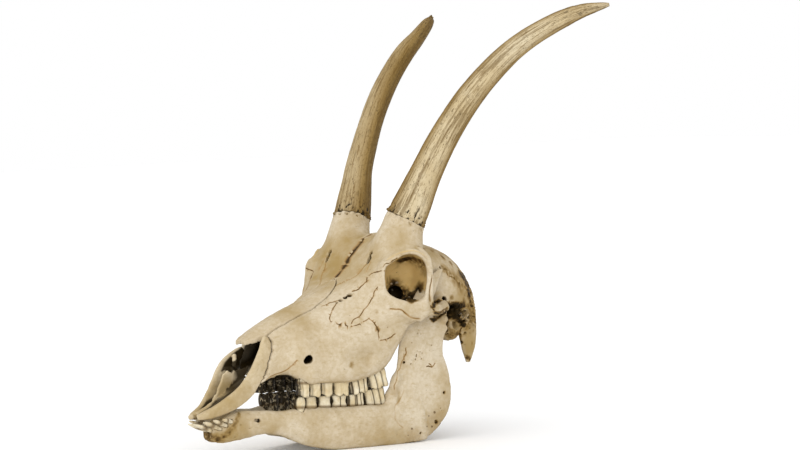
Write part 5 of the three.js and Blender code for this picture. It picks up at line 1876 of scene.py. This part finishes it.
def bone_finish(name, pale=PALE, warm=WARM, tan=TAN, yellowing=0.3, least_rough=0.6):
    """Dry bone: ivory with cloudy tan patches and brown sutures; painted shade browns its hollows and darkens
    it inside, and painted light brightens rims and eye sockets.
    """
    material, tree, shader, place = new_material(name)
    clouds = use(tree, MOTTLE, {"Place": place, "Size": 0.055})
    colour = mixed(tree, times(tree, clouds["Broad"], 0.8), pale, warm)
    patch = times(tree, times(tree, clouds["Middle"], clouds["Broad"]), yellowing)
    colour = mixed(tree, patch, colour, tan)
    colour = mixed(tree, times(tree, clouds["Fine"], 0.26), colour, tan)
    fibre = use(tree, GRAIN, {"Place": place, "Stretch": (1.0, 0.35, 1.0), "Size": 0.0016})
    colour = mixed(tree, times(tree, fibre["Streak"], 0.34), colour, tan)
    # yellowing, and painted shade on faces turned from the light and on the far side
    uneven = times(tree, mark(tree, "tone_and_shade"), sums(tree, "MULTIPLY_ADD", clouds["Middle"], 0.3, 0.7))
    colour = mixed(tree, uneven, colour, tan)
    colour = mixed(tree, times(tree, mark(tree, "edge"), 0.3), colour, pale)
    hollow_shade = mark(tree, "hollow_shade")
    pitted = mark(tree, "pitted")
    colour = mixed(tree, times(tree, pitted, 0.45), colour, OCHRE)
    # painted shade: tan, then brown, in hollows and recesses
    colour = mixed(tree, eased(tree, hollow_shade, 0.02, 0.45, 0.0, 0.75), colour, tan)
    colour = mixed(tree, eased(tree, hollow_shade, 0.25, 0.85, 0.0, 0.9), colour, BROWN)
    # painted light on the eye socket walls
    colour = mixed(tree, times(tree, mark(tree, "socket_light"), 0.75), colour, SOCKET_LIGHT)
    amount = sums(tree, "ADD", 0.42, times(tree, pitted, 0.9))
    pores = use(tree, PORES, {"Place": place, "Spacing": 0.0034, "Amount": amount})
    colour = mixed(tree, times(tree, pores["Mask"], 0.75), colour, BROWN)
    colour = mixed(tree, eased(tree, mark(tree, "suture"), 0.0, 0.5, 0.0, 0.7), colour, SUTURE_EDGE)
    colour = mixed(tree, eased(tree, mark(tree, "suture"), 0.3, 0.85), colour, SUTURE_DIRT)
    # dirt and painted shade: ochre, then brown, then dark
    stain_and_shade = mark(tree, "stain_and_shade")
    colour = mixed(tree, eased(tree, stain_and_shade, 0.0, 0.4, 0.0, 0.8), colour, OCHRE)
    colour = mixed(tree, eased(tree, stain_and_shade, 0.25, 0.7, 0.0, 0.85), colour, BROWN)
    colour = mixed(tree, eased(tree, stain_and_shade, 0.55, 1.0), colour, DARK)
    # painted shade inside cavities, from the deep mark
    colour = mixed(tree, mark(tree, "deep"), colour, DARK)
    # painted highlights on rims and ridges
    colour = mixed(tree, times(tree, mark(tree, "light"), 0.8), colour, pale)
    tree.links.new(colour, shader.inputs["Base Color"])
    gloss = sums(tree, "MULTIPLY_ADD", clouds["Middle"], 0.14, least_rough)
    tree.links.new(gloss, shader.inputs["Roughness"])
    relief = sums(tree, "ADD", times(tree, fibre["Height"], 0.5), pores["Height"])
    bumped(tree, shader, relief, 0.35, 0.0006)
    return material


def horn_finish():
    """Bare horn core: brown, painted pale on the side turned to the light and dark on the side turned from
    it, darker at a break, streaked and pored along its length.
    """
    material, tree, shader, place = new_material("fibrous horn core")
    clouds = use(tree, MOTTLE, {"Place": place, "Size": 0.05})
    grain = add(tree, "ShaderNodeAttribute", attribute_name="grain").outputs["Vector"]
    # painted light on the side turned to the light, then painted shade and darkening at the break
    lit_side = times(tree, mark(tree, "lit_side"), eased(tree, clouds["Middle"], 0.0, 1.0, 0.85, 1.0))
    brown = mixed(tree, clouds["Broad"], linear(148, 122, 72), linear(128, 102, 54))
    pale = mixed(tree, clouds["Broad"], linear(202, 188, 157), linear(189, 170, 132))
    colour = mixed(tree, lit_side, brown, pale)
    shaded_and_worn = times(tree, mark(tree, "shade_and_break"), eased(tree, clouds["Fine"], 0.0, 1.0, 0.6, 1.0))
    colour = mixed(tree, shaded_and_worn, colour, linear(88, 68, 30))
    strands = use(tree, GRAIN, {"Place": grain, "Stretch": (1.0, 1.0, 0.045), "Size": 2.6})
    colour = mixed(tree, eased(tree, strands["Height"], 0.52, 0.7, 0.0, 0.3), colour, linear(136, 108, 58))
    streaks = use(tree, GRAIN, {"Place": grain, "Stretch": (1.0, 1.0, 0.08), "Size": 1.1})
    colour = mixed(tree, eased(tree, streaks["Height"], 0.54, 0.64, 0.0, 0.6), colour, linear(106, 79, 32))
    fine = use(tree, GRAIN, {"Place": grain, "Stretch": (1.0, 1.0, 0.3), "Size": 0.7})
    colour = mixed(tree, eased(tree, fine["Height"], 0.56, 0.64, 0.0, 0.6), colour, linear(92, 66, 24))
    tight = scaled(tree, grain, (1.0, 1.0, 0.4))
    at_ends = sums(tree, "ADD", mark(tree, "seam"), mark(tree, "tip"))
    rich = sums(tree, "MULTIPLY_ADD", at_ends, 0.5, 1.0)
    speckle = use(tree, PORES, {"Place": tight, "Spacing": 1.25, "Amount": rich})
    colour = mixed(tree, times(tree, speckle["Mask"], 0.75), colour, linear(78, 60, 32))
    pores = mark(tree, "pores")
    spread = sums(tree, "ADD", 0.2, at_ends)
    colour = mixed(tree, eased(tree, mark(tree, "groove"), 0.5, 0.85, 0.0, 0.6), colour, linear(98, 74, 34))
    dark = times(tree, eased(tree, pores, 0.15, 0.6), sums(tree, "MINIMUM", spread, 1.0))
    colour = mixed(tree, dark, colour, linear(44, 34, 18))
    tree.links.new(colour, shader.inputs["Base Color"])
    rough_share = eased(tree, mark(tree, "groove"), 0.0, 1.0, 0.55, 0.8)
    tree.links.new(rough_share, shader.inputs["Roughness"])
    relief = sums(tree, "SUBTRACT", times(tree, speckle["Height"], 0.6), streaks["Height"])
    bumped(tree, shader, relief, 0.4, 0.0006)
    return material


def enamel_finish():
    """Stained cheek and front teeth: cream enamel, brown in grooves, at the gum and on the bite, with painted
    shade on inward faces and between the teeth.
    """
    material, tree, shader, place = new_material("stained enamel")
    clouds = use(tree, MOTTLE, {"Place": place, "Size": 0.012})
    colour = mixed(tree, clouds["Broad"], linear(226, 216, 190), linear(208, 192, 156))
    colour = mixed(tree, times(tree, clouds["Middle"], 0.3), colour, linear(186, 160, 112))
    streaks = use(tree, GRAIN, {"Place": place, "Stretch": (1.0, 1.0, 0.12), "Size": 0.0009})
    colour = mixed(tree, times(tree, streaks["Streak"], 0.4), colour, linear(150, 118, 66))
    groove = mark(tree, "groove")
    colour = mixed(tree, eased(tree, groove, 0.25, 0.8, 0.0, 0.9), colour, linear(52, 37, 14))
    gum = mark(tree, "gum")
    at_gum = sums(tree, "SUBTRACT", 1.0, eased(tree, sums(tree, "ABSOLUTE", gum), 0.2, 2.0))
    colour = mixed(tree, times(tree, at_gum, 0.75), colour, linear(96, 70, 32))
    # painted shade on inward faces, broken by cloudy paler patches
    inner = times(tree, mark(tree, "inner"), eased(tree, clouds["Middle"], 0.55, 0.95, 0.97, 0.3))
    colour = mixed(tree, inner, colour, linear(40, 30, 12))
    tree.links.new(colour, shader.inputs["Base Color"])
    tree.links.new(eased(tree, clouds["Fine"], 0.0, 1.0, 0.3, 0.5), shader.inputs["Roughness"])
    bumped(tree, shader, streaks["Height"], 0.35, 0.0004)
    return material


# ------------------------------------------------------------------ the skull

skull_bone = bone_finish("ivory skull bone")
jaw_bone = bone_finish("lower jaw bone", yellowing=0.45)
muzzle_bone = bone_finish(
    "muzzle bone", pale=linear(204, 190, 163), warm=linear(192, 174, 140), yellowing=0.45,
)
horn_bone = horn_finish()
enamel = enamel_finish()


TONES = [
    # (x, y, z, reach, amount): where the bone is tanned most, by yellowing and by painted shade on the far
    # side
    (12, -42, 126, 30, 0.75), (-14, -44, 124, 34, 0.95), (0, -60, 112, 22, 0.6), (5, -95, 98, 26, 0.45),
    (12, 20, 132, 28, 0.7), (14, 46, 112, 26, 0.9), (26, 40, 95, 22, 0.75), (28, 42, 64, 26, 0.85),
    (22, 29, 72, 16, 0.9), (34, 30, 85, 14, 0.9), (8, -165, 36, 22, 0.7), (14, -150, 44, 12, 0.35),
    (5, -158, 16, 26, 0.85), (12, -130, 18, 16, 0.35), (40, 4, 14, 20, 0.7), (34, -40, 2, 26, 0.5),
    (30, -14, 112, 24, 0.4), (44, -60, 60, 22, 0.3), (38, -30, 60, 14, 0.4), (40, 8, 84, 12, 0.5),
    (-40, -30, 120, 26, 0.9), (-28, -18, 150, 22, 0.5), (42, -44, 80, 14, 0.35),
    (54, -30, 92, 13, 0.5), (57, -16, 93, 12, 0.5), (36, -30, 142, 14, 0.35), (8, -30, 136, 22, 0.8),
    (3, -150, 46, 13, 0.95),
]


def crest_roughness(points):
    """How rough the cranium is at each point."""
    return near_points(points, ROUGH_PLACES) + 0.5 * near_points(points, [(30, -10, 158, 9)])


def jaw_roughness(points):
    """How rough the lower jaw is at each point."""
    return near_points(points, JAW_ROUGH)


head_block, head, head_outer = cranium_fields()
branch_field = head_block.of(branch_rings())
socket_field = head_block.of(socket_rings())


def cranium_shade(points, normals):
    """Painted shade on the palate between the tooth rows, and in the slots beside the lower jaw's branch."""
    palate = ramp(-normals[:, 2], -0.2, 0.4) * ramp(-points[:, 2], -62, -56)
    palate = palate * ramp(-np.abs(points[:, 0]), -24, -19)
    palate = palate * ramp(points[:, 1], -122, -112) * ramp(-points[:, 1], 20, 40)
    slot = 1 - ramp(head_block.sample(branch_field, points), 1.2, 3.2)
    return np.maximum(0.95 * palate, 0.75 * slot)


def inside_socket(points):
    """1 on the walls of the eye sockets, behind their rims, where painted light is laid."""
    behind = ramp((SOCKET_MIDDLE - folded(points)) @ np.array(SOCKET_FACES), 0, 5)
    return behind * (1 - ramp(head_block.sample(socket_field, points), 0.8, 2.4))


finish_bone(
    "cranium", head_block, head, head_outer, skull_bone, CRANIUM_FACES, lines=SUTURES,
    rough_at=crest_roughness, shade=cranium_shade, stains_and_shade=STAINS_AND_SHADE, lights=PAINTED_HIGHLIGHTS, areas=SKULL_AREAS,
    socket_light_at=inside_socket,
)
block, plate, hull = nasal_fields(head_block, head_outer)
for side in (LEFT, RIGHT):
    name = SIDE_NAME[side] + "_nasal_bone"
    finish_bone(name, block, plate, hull, skull_bone, NOSE_FACES, side=side, swell=0.1)
# front edge of the right muzzle bone, as z and y
FAR_EDGE = [(30, -178), (36, -166), (45.4, -156.8), (53.4, -150.9), (63, -144.2), (68.3, -137), (72, -130)]


def nose_shade(points, normals):
    """Painted shade inside the right muzzle bone, away from its front edge and from the pale nose plate."""
    edge = np.interp(points[:, 2], *zip(*FAR_EDGE))
    behind = ramp(points[:, 1] - edge, 2.6, 4.4)
    low = ramp(-points[:, 2], -44, -38) * ramp(points[:, 1], -172, -162)
    plate = outline_distance(points[:, 1:], PALE_PLATE) + 0.8 * rough(points, 2.0, 61, 2)
    scroll = ramp(-points[:, 0], 6, 9) * ramp(points[:, 2], 58, 60)
    inside = behind * ramp(plate, -0.2, 0.8) * np.maximum(ramp(points[:, 2], 40, 46), low)
    return inside * np.where(points[:, 0] < -2.6, 1, 0.95) * np.maximum(0.95, scroll)


def rod_shade(points, normals):
    """Painted shade on the palate rod inside the left muzzle bone."""
    return 0.92 * ramp(-points[:, 0], -6.2, -4.4) * ramp(points[:, 1], -174, -168)


for side in (LEFT, RIGHT):
    block, bar, bar_outer = muzzle_fields(side)
    shade = nose_shade if side == RIGHT else rod_shade
    name = SIDE_NAME[side] + "_muzzle_bone"
    finish_bone(name, block, bar, bar_outer, muzzle_bone, NOSE_FACES, side=side, swell=0.2, shade=shade)
for side in (LEFT, RIGHT):
    block, jaw, jaw_outer = jaw_fields(side)
    finish_bone(
        SIDE_NAME[side] + "_lower_jaw", block, jaw, jaw_outer, jaw_bone, JAW_FACES, side=side,
        lines=JAW_CRACKS, rough_at=jaw_roughness, stains_and_shade=JAW_STAINS, areas=JAW_AREAS,
    )
    cheek_teeth(side, "upper", UPPER_ROW, enamel)
    cheek_teeth(side, "lower", LOWER_ROW, enamel)
    front_teeth(side, enamel)
    horn_core(side, horn_bone)

# ------------------------------------------------------------------ floor, light and camera


def floor():
    mesh = bpy.data.meshes.new("floor")
    mesh.from_pydata([(-6, -6, 0), (6, -6, 0), (6, 6, 0), (-6, 6, 0)], [], [(0, 1, 2, 3)])
    material, tree, shader, place = new_material("pale floor")
    cloud = add(tree, "ShaderNodeTexNoise", {"Vector": place, "Scale": 1.5})
    colour = mixed(tree, cloud.outputs["Fac"], (0.93, 0.93, 0.93, 1), (0.95, 0.95, 0.95, 1))
    tree.links.new(colour, shader.inputs["Base Color"])
    shader.inputs["Roughness"].default_value = 0.9
    mesh.materials.append(material)
    in_scene("floor", mesh)


def lamp(name, place, aim, spread, strength):
    """A soft distant lamp: where it shines from, what it shines at, its width in degrees."""
    light = bpy.data.lights.new(name, "SUN")
    light.angle, light.energy = math.radians(spread), strength
    made = in_scene(name, light)
    made.location = place
    made.rotation_euler = (Vector(aim) - Vector(place)).to_track_quat("-Z", "Y").to_euler()


floor()
lamp("key", (0.6, -1.6, 1.9), (0, 0, 0.1), 50, 0.55)
lamp("front", (1.7, -1.4, 0.55), (0, 0, 0.12), 34, 0.95)
world = bpy.data.worlds.new("studio")
world.use_nodes = True
world.node_tree.nodes["Background"].inputs[0].default_value = (1, 1, 1, 1)
world.node_tree.nodes["Background"].inputs[1].default_value = 1.0
bpy.context.scene.world = world
bpy.context.scene.view_settings.view_transform = "Standard"

lens = bpy.data.cameras.new("camera")
lens.lens, lens.sensor_width, lens.clip_end = LENS, FILM_WIDTH, 20.0
camera = in_scene("camera", lens)
axes = zip(CAMERA_RIGHT, CAMERA_UP, CAMERA_BACK)
camera.matrix_world = Matrix([(*row, at * MM) for row, at in zip(axes, CAMERA + SHIFT)] + [(0, 0, 0, 1)])
bpy.context.scene.camera = camera
